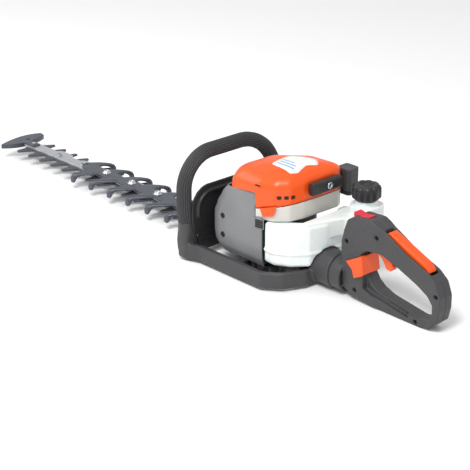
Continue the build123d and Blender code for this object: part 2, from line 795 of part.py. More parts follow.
def starter_shape(inset, base_z):
    """Outer or inner form of the starter cover: upright walls under a crowned top."""
    with BuildPart(mode=Mode.PRIVATE) as form:
        with BuildSketch(Plane.XY.offset(base_z)):
            add(plan(COVER_PLAN, COVER_CORNER, inset))
        extrude(amount=CROWN_LEVELS[0][0] - base_z)
        levels = [CROWN_LEVELS[0]] + [(z - inset, factor) for z, factor in CROWN_LEVELS[1:]]
        for lower, upper in zip(levels, levels[1:]):
            for z, factor in (lower, upper):
                with BuildSketch(Plane.XY.offset(z)):
                    add(plan(COVER_PLAN, COVER_CORNER, 0, CROWN, factor * (1 - inset / 60)))
            loft(ruled=True)
    return form.part


# side view of everything below the starter cover's lower edge
BELOW_STARTER = [
    (-150, 40), (-150, 146), (-110, 146), (-98, 151.3), (-27.2, 160.3), (-27.2, 131.1),
    (60, 151.4), (60, 40),
]
ROPE_Y = 24.0
ROPE_Z = 166.0

with BuildPart() as starter_cover:
    add(starter_shape(0, 120))
    add(starter_shape(SKIN, 110), mode=Mode.SUBTRACT)
    with BuildSketch(Plane.XZ.offset(-90)):
        with BuildLine():
            Polyline(*BELOW_STARTER, close=True)
        make_face()
    extrude(amount=180, mode=Mode.SUBTRACT)
    with BuildSketch(Plane.YZ.offset(5)):
        with Locations((ROPE_Y, ROPE_Z)):
            Circle(5)
        with Locations((-62, 157), (-49, 157), (-36, 157)):
            Rectangle(8, 9)
    extrude(amount=40, mode=Mode.SUBTRACT)
write(starter_cover, "starter_cover")

FAN_FLOOR_Z = 113.0
ABOVE_SKIRT = [
    (-150, 200), (-150, 90), (-26.8, 90), (-26.8, 130.8), (60, 151.1), (60, 200),
]

with BuildPart() as fan_housing:
    with BuildSketch(Plane.XY.offset(FAN_FLOOR_Z)):
        add(plan(COVER_PLAN, COVER_CORNER, 0.1))
    extrude(amount=50)
    with BuildSketch(Plane.XY.offset(FAN_FLOOR_Z + 3)):
        add(plan(COVER_PLAN, COVER_CORNER, SKIN))
    extrude(amount=50, mode=Mode.SUBTRACT)
    with BuildSketch(Plane.XY.offset(FAN_FLOOR_Z)):
        Circle(CRANKCASE_R + GAP)
        with Locations((-24, 0)):
            Rectangle(20 + 2 * GAP, 56 + 2 * GAP)
    extrude(amount=5, mode=Mode.SUBTRACT)
    with BuildSketch(Plane.XZ.offset(-90)):
        with BuildLine():
            Polyline(*ABOVE_SKIRT, close=True)
        make_face()
    extrude(amount=180, mode=Mode.SUBTRACT)
write(fan_housing, "fan_housing")


def front_shape(inset):
    """Outer or inner form of the grey front cover, its plan cut to its side view."""
    with BuildPart(mode=Mode.PRIVATE) as form:
        with BuildSketch(Plane.XY.offset(30)):
            add(plan(FRONT_PLAN, 10, inset))
        extrude(amount=140)
        with BuildSketch(Plane.XZ.offset(-90)):
            add(plan(FRONT_SIDE, 8, inset))
        extrude(amount=180, mode=Mode.INTERSECT)
    return form.part


with BuildPart() as cylinder_cover:
    add(front_shape(0))
    add(front_shape(SKIN), mode=Mode.SUBTRACT)
    with BuildSketch(Plane.XY.offset(30)):
        with Locations((-88, 0)):
            Rectangle(124, 104)
    extrude(amount=30, mode=Mode.SUBTRACT)
    with BuildSketch(Plane.YZ.offset(-32)):
        with Locations((-20.5, 104)):
            Rectangle(111, 132)
    extrude(amount=8, mode=Mode.SUBTRACT)
    # the left wall runs on to the tank below the fan housing
    with BuildSketch(Plane.XZ.offset(80 - SKIN)):
        with Locations((-24.25, (36 + FAN_FLOOR_Z) / 2)):
            Rectangle(27.5, FAN_FLOOR_Z - 36 - GAP)
    extrude(amount=SKIN)
    with BuildSketch(Plane.XZ.offset(-30)):
        with Locations((-66, ENGINE_Z)):
            Rectangle(46, 34)
    extrude(amount=-12, mode=Mode.SUBTRACT)
    with BuildSketch(Plane.XZ.offset(70)):
        with Locations((-108, 96), (-108, 60)):
            SlotOverall(16, 7, rotation=80)
    extrude(amount=15, mode=Mode.SUBTRACT)
write(cylinder_cover, "cylinder_cover")

with BuildPart() as cover_screws:
    for z in (60, 96):
        with BuildSketch(Plane.XZ.offset(72.2)):
            with Locations((-108, z)):
                Circle(2.0)
        extrude(amount=5)
        with BuildSketch(Plane.XZ.offset(74)):
            with Locations((-108, z)):
                Circle(3.2)
        extrude(amount=3)
write(cover_screws, "cover_screws")

with BuildPart() as rear_shroud:
    with BuildSketch(Plane.XY.offset(44)):
        with BuildLine():
            Polyline(
                (-14.5, -77.2), (-11.5, -77.2), (-11.5, -50), (-26.7, -48), (-26.7, -50.5),
                (-14.5, -52.5), close=True,
            )
        make_face()
    extrude(amount=68)
write(rear_shroud, "rear_shroud")

FILTER_BOX = [(-50, 78.5), (36, 78.5), (40, 82), (40, 102), (36, 106), (-44, 106), (-50, 100)]
FILTER_SIDE = [(-60, 130), (-60, 156), (0, 160), (8, 177), (60, 177), (60, 130)]
FILTER_SEAT_Z = 136.0


def filter_shape(inset):
    """Outer or inner form of the air filter cover, lower in front than behind."""
    with BuildPart(mode=Mode.PRIVATE) as form:
        with BuildSketch(Plane.XY.offset(FILTER_SEAT_Z)):
            add(plan(FILTER_BOX, 3, inset))
        extrude(amount=60)
        with BuildSketch(Plane.XZ.offset(-120)):
            add(plan(FILTER_SIDE, 4, inset))
        extrude(amount=60, mode=Mode.INTERSECT)
    return form.part


with BuildPart() as air_filter_cover:
    add(filter_shape(0))
    add(filter_shape(SKIN), mode=Mode.SUBTRACT)
write(air_filter_cover, "air_filter_cover")

with BuildPart() as air_filter_base:
    with BuildSketch(Plane.XY.offset(130)):
        add(plan(FILTER_BOX, 3, 0.1))
    extrude(amount=FILTER_SEAT_Z - GAP - 130)
    with BuildSketch(Plane.XY.offset(122)):
        with Locations((-38, 91)):
            Circle(9)
    extrude(amount=9)
    with BuildSketch(Plane.XY.offset(122)):
        with Locations((-38, 91)):
            Circle(7)
    extrude(amount=20, mode=Mode.SUBTRACT)
write(air_filter_base, "air_filter_base")

with BuildPart() as air_filter_element:
    with BuildSketch(Plane.XY.offset(FILTER_SEAT_Z)):
        add(plan(FILTER_BOX, 3, 4))
    extrude(amount=14)
write(air_filter_element, "air_filter_element")

# ================================================================ recoil starter
REEL_Z = 161.0
REEL_R = 18.0
GRIP_CENTRE = (41.0, ROPE_Y, ROPE_Z)
GRIP_HALF_T = 7.0
GRIP_LENGTH = 68.0
GRIP_MIDDLE_Y = 19.0

with BuildPart() as starter_reel:
    for z, r, height in (
        (REEL_Z, REEL_R + 5, 2), (REEL_Z + 2, REEL_R, 6), (REEL_Z + 8, REEL_R + 5, 2),
    ):
        with BuildSketch(Plane.XY.offset(z)):
            Circle(r)
        extrude(amount=height)
    with BuildSketch(Plane.XY.offset(REEL_Z - 2)):
        Circle(17)
    extrude(amount=4)
    with BuildSketch(Plane.XY.offset(REEL_Z - 2)):
        Circle(13)
        with PolarLocations(13, 4):
            Rectangle(4, 4)
    extrude(amount=7, mode=Mode.SUBTRACT)
    with BuildSketch(Plane.XY.offset(REEL_Z - 2)):
        Circle(4 + FIT)
    extrude(amount=12, mode=Mode.SUBTRACT)
write(starter_reel, "starter_reel")

with BuildPart() as reel_spindle:
    with BuildSketch(Plane.XY.offset(REEL_Z + 5.5)):
        Circle(4)
    extrude(amount=9.5)
    with BuildSketch(Plane.XY.offset(REEL_Z + 15)):
        Circle(20)
    extrude(amount=3)
    with BuildSketch(Plane.XY.offset(REEL_Z + 18)):
        Circle(8)
    extrude(amount=COVER_TOP_Z - SKIN - 1 - (REEL_Z + 18))
write(reel_spindle, "reel_spindle")

with BuildPart() as recoil_spring:
    with BuildSketch(Plane.XY.offset(REEL_Z + 11)):
        for i in range(5):
            Circle(8 + 3.0 * i + 1.0)
            Circle(8 + 3.0 * i, mode=Mode.SUBTRACT)
        with Locations((14.5, 0)):
            Rectangle(12, 1)
    extrude(amount=3.6)
write(recoil_spring, "recoil_spring")

with BuildPart() as starter_pawls:
    for angle in (0, 180):
        with BuildSketch(Plane.XY.offset(FLYWHEEL_Z + FLYWHEEL_T)):
            with Locations((9 * cos(radians(angle)), 9 * sin(radians(angle)))):
                SlotOverall(9, 4, rotation=angle + 90)
        extrude(amount=3)
write(starter_pawls, "starter_pawls")

with BuildPart() as starter_rope:
    with BuildSketch(Plane.YZ.offset(COVER_REAR_X - 2)):
        with Locations((ROPE_Y, ROPE_Z)):
            Circle(1.8)
    extrude(amount=GRIP_CENTRE[0] - COVER_REAR_X + 2)
    with BuildSketch(Plane.YZ.offset(GRIP_CENTRE[0])):
        with Locations((ROPE_Y, ROPE_Z)):
            Circle(2.9)
    extrude(amount=GRIP_HALF_T - 0.5)
write(starter_rope, "starter_rope")

with BuildPart() as starter_grip:
    with BuildSketch(Plane.XZ.offset(GRIP_LENGTH / 2 - GRIP_MIDDLE_Y)):
        with Locations((GRIP_CENTRE[0], GRIP_CENTRE[2])):
            RectangleRounded(2 * GRIP_HALF_T, 22, 5)
    extrude(amount=-GRIP_LENGTH)
    with BuildSketch(Plane.YZ.offset(30)):
        with Locations((ROPE_Y, ROPE_Z)):
            Circle(3)
    extrude(amount=40, mode=Mode.SUBTRACT)
write(starter_grip, "starter_grip")

# ================================================================ fuel system
TANK_LOW = [
    (-8, -77), (16, -79), (42, -64), (62, -38), (71, -6), (71, 42), (60, 74), (30, 84),
    (30, 62), (44, 40), (44, 0), (38, -30), (20, -46), (-8, -52),
]
TANK_HIGH = [
    (46, -56), (58, -42), (68, -8), (80, 26), (109, 42), (113, 54), (113, 90), (102, 102),
    (62, 102), (46, 80),
]
# the raised part that carries the filler neck
TANK_NECK = [(58, 64), (72, 46), (112, 48), (112, 90), (101, 101), (64, 101), (56, 90)]
TANK_STEP_Z = 116.0
TANK_TOP_Z = 131.0
CAP_AT = (87.0, 72.0)
CAP_Z = 137.0
CAP_HEIGHT = 31.0
CAP_R = 26.5

with BuildPart() as fuel_tank:
    with BuildSketch(Plane.XY.offset(38)):
        add(plan(TANK_LOW, 5))
    extrude(amount=74)
    chamfer(fuel_tank.edges().group_by(Axis.Z)[0] + fuel_tank.edges().group_by(Axis.Z)[-1], 4)
    with BuildSketch(Plane.XY.offset(84)):
        add(plan(TANK_HIGH, 5))
    extrude(amount=TANK_STEP_Z - 84)
    with BuildSketch(Plane.XY.offset(TANK_STEP_Z - 4)):
        add(plan(TANK_NECK, 6))
    extrude(amount=TANK_TOP_Z - TANK_STEP_Z + 4)
    with BuildSketch(Plane.XY.offset(TANK_TOP_Z)):
        with Locations(CAP_AT):
            Circle(20)
    extrude(amount=CAP_Z + 4 - TANK_TOP_Z)
    with BuildSketch(Plane.XY.offset(90)):
        with Locations(CAP_AT):
            Circle(17)
    extrude(amount=CAP_Z + 4 - 90, mode=Mode.SUBTRACT)
    with BuildSketch(Plane.XY.offset(60)):
        add(plan(TANK_LOW, 5, -2))
        add(plan(TANK_LOW, 5, 2), mode=Mode.SUBTRACT)
    extrude(amount=4)
    # saddle over the collar of the rear handle
    with BuildSketch(Plane.YZ.offset(50)):
        with Locations((0, COLLAR_Z)):
            Circle(COLLAR_R + 3)
    extrude(amount=70, mode=Mode.SUBTRACT)
write(fuel_tank, "fuel_tank")

with BuildPart() as fuel_cap:
    with BuildSketch(Plane.XY.offset(CAP_Z)):
        with Locations(CAP_AT):
            Circle(CAP_R)
            with PolarLocations(CAP_R + 1, 10):
                Circle(3.2, mode=Mode.SUBTRACT)
    extrude(amount=CAP_HEIGHT)
    chamfer(fuel_cap.edges().group_by(Axis.Z)[-1], 2)
    with BuildSketch(Plane.XY.offset(CAP_Z)):
        with Locations(CAP_AT):
            Circle(20 + GAP)
    extrude(amount=4.5, mode=Mode.SUBTRACT)
    with BuildSketch(Plane.XY.offset(CAP_Z - 6)):
        with Locations(CAP_AT):
            Circle(17 - GAP)
            Circle(13, mode=Mode.SUBTRACT)
    extrude(amount=11)
write(fuel_cap, "fuel_cap")

# ================================================================ frame and handles
FRAME_FRONT_X = -188.0
FRAME_HALF = 108.0
FRAME_WALL = 12.0
FRAME_HALF_PLAN = [
    (FRAME_FRONT_X, 116), (-160, 116), (-140, FRAME_HALF), (14, FRAME_HALF), (44, 84), (62, 44),
]


def frame_plan(inset=0.0):
    """Closed plan of the base frame, both halves, with large corners."""
    left = [(x, -y) for x, y in FRAME_HALF_PLAN]
    with BuildSketch(mode=Mode.PRIVATE) as outline:
        with BuildLine():
            Polyline(*FRAME_HALF_PLAN, *reversed(left), close=True)
        make_face()
        fillet(outline.vertices(), 11)
        if inset:
            offset(amount=-inset)
    return outline.sketch


LEG_Y = 104.0               # where the loop's legs meet the frame
LOOP_FOOT_Z = 34.0

with BuildPart() as base_frame:
    with BuildSketch(Plane.XY.offset(FRAME_BOTTOM_Z)):
        add(frame_plan())
        add(frame_plan(FRAME_WALL), mode=Mode.SUBTRACT)
    extrude(amount=FRAME_TOP_Z - FRAME_BOTTOM_Z)
    with BuildSketch(Plane.XY.offset(13)):
        with Locations((FRAME_FRONT_X, 0)):
            Rectangle(60, 150)
    extrude(amount=40, mode=Mode.SUBTRACT)
    for side in (-1, 1):
        with BuildSketch(Plane.XY.offset(FRAME_BOTTOM_Z)):
            with Locations((LOOP_X + 1, side * LEG_Y)):
                RectangleRounded(26, 30, 8)
        extrude(amount=LOOP_FOOT_Z + 10 - FRAME_BOTTOM_Z)
        with BuildSketch(Plane.XY.offset(14)):
            with Locations((LOOP_X, side * LEG_Y)):
                Circle(TUBE_R + 0.02)
        extrude(amount=40, mode=Mode.SUBTRACT)
    with BuildSketch(Plane.YZ.offset(54)):
        with Locations((0, COLLAR_Z)):
            Circle(COLLAR_R + 1)
    extrude(amount=COLLAR_X - 54 - GAP)
    with BuildSketch(Plane.YZ.offset(50)):
        with Locations((0, COLLAR_Z)):
            Circle(COLLAR_R - 6)
    extrude(amount=COLLAR_X - 54, mode=Mode.SUBTRACT)
    with BuildSketch(Plane.YZ.offset(COLLAR_X - 4)):
        with Locations((0, COLLAR_Z)):
            Circle(21)
            Circle(11, mode=Mode.SUBTRACT)
    extrude(amount=24)
    with BuildSketch(Plane.YZ.offset(COLLAR_X + 12)):
        with Locations((0, COLLAR_Z)):
            Circle(24.5)
            Circle(11, mode=Mode.SUBTRACT)
    extrude(amount=8)
write(base_frame, "base_frame")

with BuildPart() as vibration_dampers:
    for side in (-1, 1):
        for x in DAMPER_XS:
            with BuildSketch(Plane.XZ.offset(-side * DAMPER_INNER_Y)):
                with Locations((x, DAMPER_Z)):
                    Circle(6.5)
            extrude(amount=-side * (FRAME_HALF - FRAME_WALL - DAMPER_INNER_Y))
write(vibration_dampers, "vibration_dampers")


def loop_points(foot_z):
    """Corners of the loop's centre line, from the left foot over the top to the right foot."""
    left = [
        (LOOP_X, -LEG_Y, foot_z), (LOOP_X, -LEG_Y, LOOP_FOOT_Z + 20),
        (LOOP_X, -LOOP_HALF, LOOP_FOOT_Z + 60), (LOOP_X, -LOOP_HALF, LOOP_TOP_Z),
    ]
    return left + [(x, -y, z) for x, y, z in reversed(left)]


LOOP_RADII = [60, 60, LOOP_LEFT_R, LOOP_RIGHT_R, 60, 60]

with BuildPart() as front_handle:
    with BuildLine() as loop_path:
        FilletPolyline(*loop_points(16), radius=LOOP_RADII)
    with BuildSketch(Plane.XY.offset(16)):
        with Locations((LOOP_X, -LEG_Y)):
            Circle(TUBE_R)
            Circle(TUBE_R - 1.6, mode=Mode.SUBTRACT)
    sweep(path=loop_path.wire())
write(front_handle, "front_handle")

with BuildPart() as handle_grip:
    with BuildLine() as grip_path:
        FilletPolyline(*loop_points(LOOP_FOOT_Z + 10.2), radius=LOOP_RADII)
    with BuildSketch(Plane.XY.offset(LOOP_FOOT_Z + 10.2)):
        with Locations((LOOP_X, -LEG_Y)):
            Circle(GRIP_R)
            Circle(TUBE_R + 0.02, mode=Mode.SUBTRACT)
    sweep(path=grip_path.wire())
write(handle_grip, "handle_grip")

GUARD_PLATE_X = -161.2

with BuildPart() as hand_guard:
    with BuildSketch(Plane.YZ.offset(GUARD_PLATE_X)):
        with Locations((0, 85)):
            RectangleRounded(212, 102, 40)
        with Locations((0, 52)):
            Rectangle(180, 34)
        with Locations((0, 20)):
            Rectangle(60, 80, mode=Mode.SUBTRACT)
    extrude(amount=4)
    with BuildSketch(Plane.YZ.offset(GUARD_PLATE_X + 4)):
        with Locations((0, 85)):
            RectangleRounded(190, 80, 32)
            RectangleRounded(182, 72, 28, mode=Mode.SUBTRACT)
        with Locations((0, 55)):
            Rectangle(240, 50, mode=Mode.SUBTRACT)
    extrude(amount=4)
write(hand_guard, "hand_guard")

# rear handle, side view
HANDLE_OUTER = [
    (123, 17), (142, 8), (214, 1), (285, 0), (306, 4), (322, 18), (327, 40), (327, 62),
    (318, 84), (300, 98), (251, 117), (209, 139), (180, 152), (143, 150), (128, 140),
    (121, 121), (116, 100), (116, 36),
]
OPENING = [
    (161, 88), (166, 50), (174, 38), (188, 28), (214, 22), (280, 12), (304, 16), (312, 32),
    (312, 46), (301, 59), (279, 71), (234, 89), (198, 100), (172, 97),
]
# hollow in the left side of the lower bar, below the opening
SCOOP = [(166, 50), (166, 27), (180, 22), (262, 7), (266, 13.5), (214, 22), (188, 28), (174, 38)]
SCOOP_DEPTH = 12.0
GRIP_HALF = 16.0            # half thickness of the D behind the trigger housing
HOUSING_END_X = 206.0
HANDLE_SCREWS = [(192, 126), (127, 101), (148, 19), (318, 63), (279, 6.3)]
TRIGGER_PIN = (190.0, 108.0)
LOCKOUT_PIN = (212.0, 132.0)
SWITCH_PIN = (150.0, 143.0)
# centre, radius and half length of the pins that the controls turn on
CONTROL_PINS = [(TRIGGER_PIN, 2.0, 12), (LOCKOUT_PIN, 2.0, 14), (SWITCH_PIN, 1.5, 12)]


def side_plan(points, radius):
    """A rounded outline in the X-Z plane."""
    with BuildSketch(mode=Mode.PRIVATE) as outline:
        with BuildLine():
            Polyline(*points, close=True)
        make_face()
        fillet(outline.vertices(), radius)
    return outline.sketch


TRIGGER_SLOT = [(178, 84), (178, 119), (200, 119), (228, 105), (244, 94), (244, 78)]
LOCKOUT_SLOT = [(203, 121), (203, 165), (303.5, 140), (303.5, 78), (252, 103), (222, 118)]
SWITCH_SLOT = [(131, 136), (131, 160), (169, 160), (169, 136)]


def screw_face(place):
    """Distance of the handle's face from its middle plane where a screw goes in."""
    return HANDLE_HALF if place[0] < HOUSING_END_X - 10 else GRIP_HALF


def handle_half(side):
    """One moulded half of the rear handle: -1 is the left half and 1 the right."""
    start = 0.0 if side > 0 else -HANDLE_HALF
    with BuildPart(mode=Mode.PRIVATE) as half:
        with BuildSketch(Plane.XZ.offset(-start)):
            add(side_plan(HANDLE_OUTER, 6))
            add(side_plan(OPENING, 5), mode=Mode.SUBTRACT)
        extrude(amount=-HANDLE_HALF)
        # the housing narrows to the grip's thickness
        with BuildSketch(Plane.XY.offset(-10)):
            with BuildLine():
                Polyline(
                    (HOUSING_END_X - 22, side * (HANDLE_HALF + 1)), (HOUSING_END_X, side * GRIP_HALF),
                    (340, side * GRIP_HALF), (340, side * (HANDLE_HALF + 1)), close=True,
                )
            make_face()
        extrude(amount=180, mode=Mode.SUBTRACT)
        for points, slot_half in ((TRIGGER_SLOT, 7.5), (LOCKOUT_SLOT, 10.5), (SWITCH_SLOT, 9.5)):
            with BuildSketch(Plane.XZ.offset(slot_half)):
                with BuildLine():
                    Polyline(*points, close=True)
                make_face()
            extrude(amount=-2 * slot_half, mode=Mode.SUBTRACT)
        with BuildSketch(Plane.YZ.offset(100)):
            with Locations((0, COLLAR_Z)):
                Circle(21 + FIT)
        extrude(amount=COLLAR_X + 12 - 100, mode=Mode.SUBTRACT)
        with BuildSketch(Plane.YZ.offset(COLLAR_X + 12 - FIT)):
            with Locations((0, COLLAR_Z)):
                Circle(24.5 + FIT)
        extrude(amount=9, mode=Mode.SUBTRACT)
        for place, r, half_length in CONTROL_PINS:
            with BuildSketch(Plane.XZ.offset(half_length + 0.1)):
                with Locations(place):
                    Circle(r + 0.02)
            extrude(amount=-2 * (half_length + 0.1), mode=Mode.SUBTRACT)
        for place in HANDLE_SCREWS:
            face = screw_face(place)
            for r, depth in ((2.0, 2 * face), (4.2, 6)):
                with BuildSketch(Plane.XZ.offset(face)):
                    with Locations(place):
                        Circle(r)
                extrude(amount=-depth, mode=Mode.SUBTRACT)
    return half.part


def collar_half(side):
    """The turning side of the collar that is moulded on one handle half."""
    with BuildPart(mode=Mode.PRIVATE) as ring:
        with BuildSketch(Plane.YZ.offset(COLLAR_X)):
            with Locations((0, COLLAR_Z)):
                Circle(COLLAR_R - 1)
                Circle(21 + FIT, mode=Mode.SUBTRACT)
            with Locations((-side * 50, COLLAR_Z)):
                Rectangle(100, 100, mode=Mode.SUBTRACT)
        extrude(amount=12 - FIT)
        with BuildSketch(Plane.YZ.offset(COLLAR_X + 12 - FIT)):
            with Locations((0, COLLAR_Z)):
                Circle(COLLAR_R - 1)
                Circle(24.5 + FIT, mode=Mode.SUBTRACT)
            with Locations((-side * 50, COLLAR_Z)):
                Rectangle(100, 100, mode=Mode.SUBTRACT)
        extrude(amount=12)
    return ring.part


with BuildPart() as rear_handle_left:
    add(handle_half(-1))
    add(collar_half(-1))
    with BuildSketch(Plane.XZ.offset(HANDLE_HALF)):
        with BuildLine():
            Polyline(*SCOOP, close=True)
        make_face()
    extrude(amount=-SCOOP_DEPTH, mode=Mode.SUBTRACT)
write(rear_handle_left, "rear_handle_left")

with BuildPart() as rear_handle_right:
    add(handle_half(1))
    add(collar_half(1))
write(rear_handle_right, "rear_handle_right")

with BuildPart() as handle_screws:
    for place in HANDLE_SCREWS:
        head = screw_face(place) - 6
        for start, r, depth, mode in (
            (head, 1.98, -(head + 8), Mode.ADD), (head, 3.8, 3, Mode.ADD),
            (head + 3, 2.0, -2, Mode.SUBTRACT),
        ):
            with BuildSketch(Plane.XZ.offset(start)):
                with Locations(place):
                    Circle(r)
            extrude(amount=depth, mode=mode)
write(handle_screws, "handle_screws")

TRIGGER_SHAPE = [(183, 97), (184, 113), (197, 113), (214, 92), (222, 80), (215, 71), (206, 72), (197, 86)]

with BuildPart() as throttle_trigger:
    with BuildSketch(Plane.XZ.offset(6.5)):
        add(side_plan(TRIGGER_SHAPE, 2.5))
        with Locations(TRIGGER_PIN):
            Circle(2.0 + FIT, mode=Mode.SUBTRACT)
    extrude(amount=-13)
write(throttle_trigger, "throttle_trigger")

LOCKOUT_SHAPE = [
    (206, 125), (206, 136), (212, 140), (250, 124), (288, 108), (296, 100), (300, 92),
    (255, 112), (216, 124),
]

with BuildPart() as trigger_lockout:
    with BuildSketch(Plane.XZ.offset(9.5)):
        add(side_plan(LOCKOUT_SHAPE, 2))
        with Locations(LOCKOUT_PIN):
            Circle(2.0 + FIT, mode=Mode.SUBTRACT)
    extrude(amount=-19)
write(trigger_lockout, "trigger_lockout")

with BuildPart() as stop_switch:
    with BuildSketch(Plane.XZ.offset(8.5)):
        with BuildLine():
            Polyline((133, 143), (133, 153), (149, 149.5), (167, 152), (167, 143), close=True)
        make_face()
        with Locations(SWITCH_PIN):
            Circle(4)
            Circle(1.5 + FIT, mode=Mode.SUBTRACT)
    extrude(amount=-17)
write(stop_switch, "stop_switch")

with BuildPart() as control_pins:
    for place, r, half_length in CONTROL_PINS:
        with BuildSketch(Plane.XZ.offset(half_length)):
            with Locations(place):
                Circle(r)
        extrude(amount=-2 * half_length)
write(control_pins, "control_pins")

LOCK_PLATE = [(131, 68), (164, 86), (167.5, 66), (168.5, 52), (150, 43), (145, 57)]
LOCK_TAB = [(162.2, 86), (166.9, 54), (170.9, 54), (166.2, 86)]

with BuildPart() as handle_lock_lever:
    with BuildSketch(Plane.XZ.offset(HANDLE_HALF + GAP)):
        with BuildLine():
            Polyline(*LOCK_PLATE, close=True)
        make_face()
    extrude(amount=4)
    with BuildSketch(Plane.XZ.offset(HANDLE_HALF + GAP + 4)):
        with BuildLine():
            Polyline(*LOCK_TAB, close=True)
        make_face()
    extrude(amount=-(2 * HANDLE_HALF + GAP + 4))
write(handle_lock_lever, "handle_lock_lever")
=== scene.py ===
"""Looks of the petrol hedge trimmer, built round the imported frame. Metres, row frame."""

import json
import math

import bmesh
import bpy
from mathutils import Matrix, Vector
from mathutils.bvhtree import BVHTree


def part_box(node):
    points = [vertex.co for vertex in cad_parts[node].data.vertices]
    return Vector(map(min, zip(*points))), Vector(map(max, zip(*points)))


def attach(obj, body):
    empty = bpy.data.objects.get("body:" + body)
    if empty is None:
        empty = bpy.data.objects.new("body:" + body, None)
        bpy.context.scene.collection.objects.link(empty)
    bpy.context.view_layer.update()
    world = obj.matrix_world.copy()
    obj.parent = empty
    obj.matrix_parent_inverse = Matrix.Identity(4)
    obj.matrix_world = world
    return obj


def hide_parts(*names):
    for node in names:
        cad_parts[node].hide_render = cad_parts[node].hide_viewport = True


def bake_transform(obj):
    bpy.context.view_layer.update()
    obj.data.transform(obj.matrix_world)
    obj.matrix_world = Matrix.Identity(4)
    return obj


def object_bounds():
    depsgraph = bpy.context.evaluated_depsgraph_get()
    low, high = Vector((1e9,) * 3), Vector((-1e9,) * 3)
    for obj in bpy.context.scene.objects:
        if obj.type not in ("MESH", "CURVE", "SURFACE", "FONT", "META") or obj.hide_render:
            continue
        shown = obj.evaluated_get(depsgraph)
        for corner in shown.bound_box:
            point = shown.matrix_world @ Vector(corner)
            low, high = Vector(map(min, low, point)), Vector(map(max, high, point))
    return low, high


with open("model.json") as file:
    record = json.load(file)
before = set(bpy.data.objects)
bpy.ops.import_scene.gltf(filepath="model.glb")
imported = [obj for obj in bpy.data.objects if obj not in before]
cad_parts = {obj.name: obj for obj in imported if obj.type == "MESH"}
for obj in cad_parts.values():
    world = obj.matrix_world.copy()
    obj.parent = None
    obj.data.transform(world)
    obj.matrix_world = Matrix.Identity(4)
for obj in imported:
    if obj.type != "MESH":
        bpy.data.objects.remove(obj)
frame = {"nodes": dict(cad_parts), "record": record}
nodes = frame["nodes"]
slot_of = {part["node"]: part["material_slot"] for part in frame["record"]["subparts"]}
first_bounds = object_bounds()

MM = 0.001
CLOUD_SCALE = 22.0           # broad colour variation, per metre
MARK_SCALE = 140.0           # scuffs and uneven gloss, per metre
SCUFF_FROM = (0.62, 0.74)    # share of the marks noise where a scuff begins and is full
GRAIN_DEPTH = 0.0004


# ---------------------------------------------------------------- materials
def linear(*rgb):
    """sRGB 0-255 to a linear colour."""
    out = []
    for value in rgb:
        c = value / 255
        out.append(c / 12.92 if c <= 0.04045 else ((c + 0.055) / 1.055) ** 2.4)
    return (*out, 1.0)


def scaled(colour, factor):
    """The colour made lighter or darker."""
    return tuple(min(1.0, c * factor) for c in colour[:3]) + (1.0,)


def finish(name, colour, rough=0.45, grain=1400.0, bump=0.12, vary=0.10, metal=0.0, stretch=(1, 1, 1),
           scuff=0.25, scuff_factor=1.5, soft=0.0, coat=0.0, spread=0.10):
    """A worn surface: cloudy colour, fine grain, uneven roughness and sparse scuffs."""
    material = bpy.data.materials.new(name)
    material.use_nodes = True
    tree = material.node_tree
    make, link = tree.nodes.new, tree.links.new
    shader = tree.nodes["Principled BSDF"]
    shader.inputs["Metallic"].default_value = metal
    shader.inputs["Subsurface Weight"].default_value = soft
    shader.inputs["Subsurface Scale"].default_value = 0.012
    shader.inputs["Coat Weight"].default_value = coat
    shader.inputs["Coat Roughness"].default_value = 0.25
    place = make("ShaderNodeTexCoord")
    mapping = make("ShaderNodeMapping")
    mapping.inputs["Scale"].default_value = stretch
    link(place.outputs["Object"], mapping.inputs["Vector"])

    def noise(scale, detail, roughness=0.55):
        """A noise texture on the piece's own coordinates."""
        node = make("ShaderNodeTexNoise")
        node.inputs["Scale"].default_value = scale
        node.inputs["Detail"].default_value = detail
        node.inputs["Roughness"].default_value = roughness
        link(mapping.outputs["Vector"], node.inputs["Vector"])
        return node

    def ranged(source, low, high, to_low, to_high):
        """The source's values from low to high, mapped to the second range."""
        node = make("ShaderNodeMapRange")
        limits = {"From Min": low, "From Max": high, "To Min": to_low, "To Max": to_high}
        for socket, value in limits.items():
            node.inputs[socket].default_value = value
        link(source, node.inputs["Value"])
        return node.outputs["Result"]

    def mixed(factor, a, b):
        """Colour a turning into colour b with the factor; each is a colour or another node's output."""
        node = make("ShaderNodeMix")
        node.data_type = "RGBA"
        link(factor, node.inputs["Factor"])
        for socket, value in ((node.inputs[6], a), (node.inputs[7], b)):
            if isinstance(value, tuple):
                socket.default_value = value
            else:
                link(value, socket)
        return node.outputs[2]

    clouds = noise(CLOUD_SCALE, 4.0)
    fine = noise(grain, 3.0)
    marks = noise(MARK_SCALE, 6.0, 0.7)
    cloudy = ranged(clouds.outputs["Fac"], 0.3, 0.7, 0, 1)
    body = mixed(cloudy, scaled(colour, 1 - vary), scaled(colour, 1 + vary))
    scuffed = ranged(marks.outputs["Fac"], *SCUFF_FROM, 0, scuff)
    worn = mixed(scuffed, body, scaled(colour, scuff_factor))
    link(worn, shader.inputs["Base Color"])
    uneven = ranged(marks.outputs["Fac"], 0.3, 0.7, rough - spread, rough + spread)
    link(uneven, shader.inputs["Roughness"])
    relief = make("ShaderNodeBump")
    relief.inputs["Strength"].default_value = bump
    relief.inputs["Distance"].default_value = GRAIN_DEPTH
    link(fine.outputs["Fac"], relief.inputs["Height"])
    link(relief.outputs["Normal"], shader.inputs["Normal"])
    return material


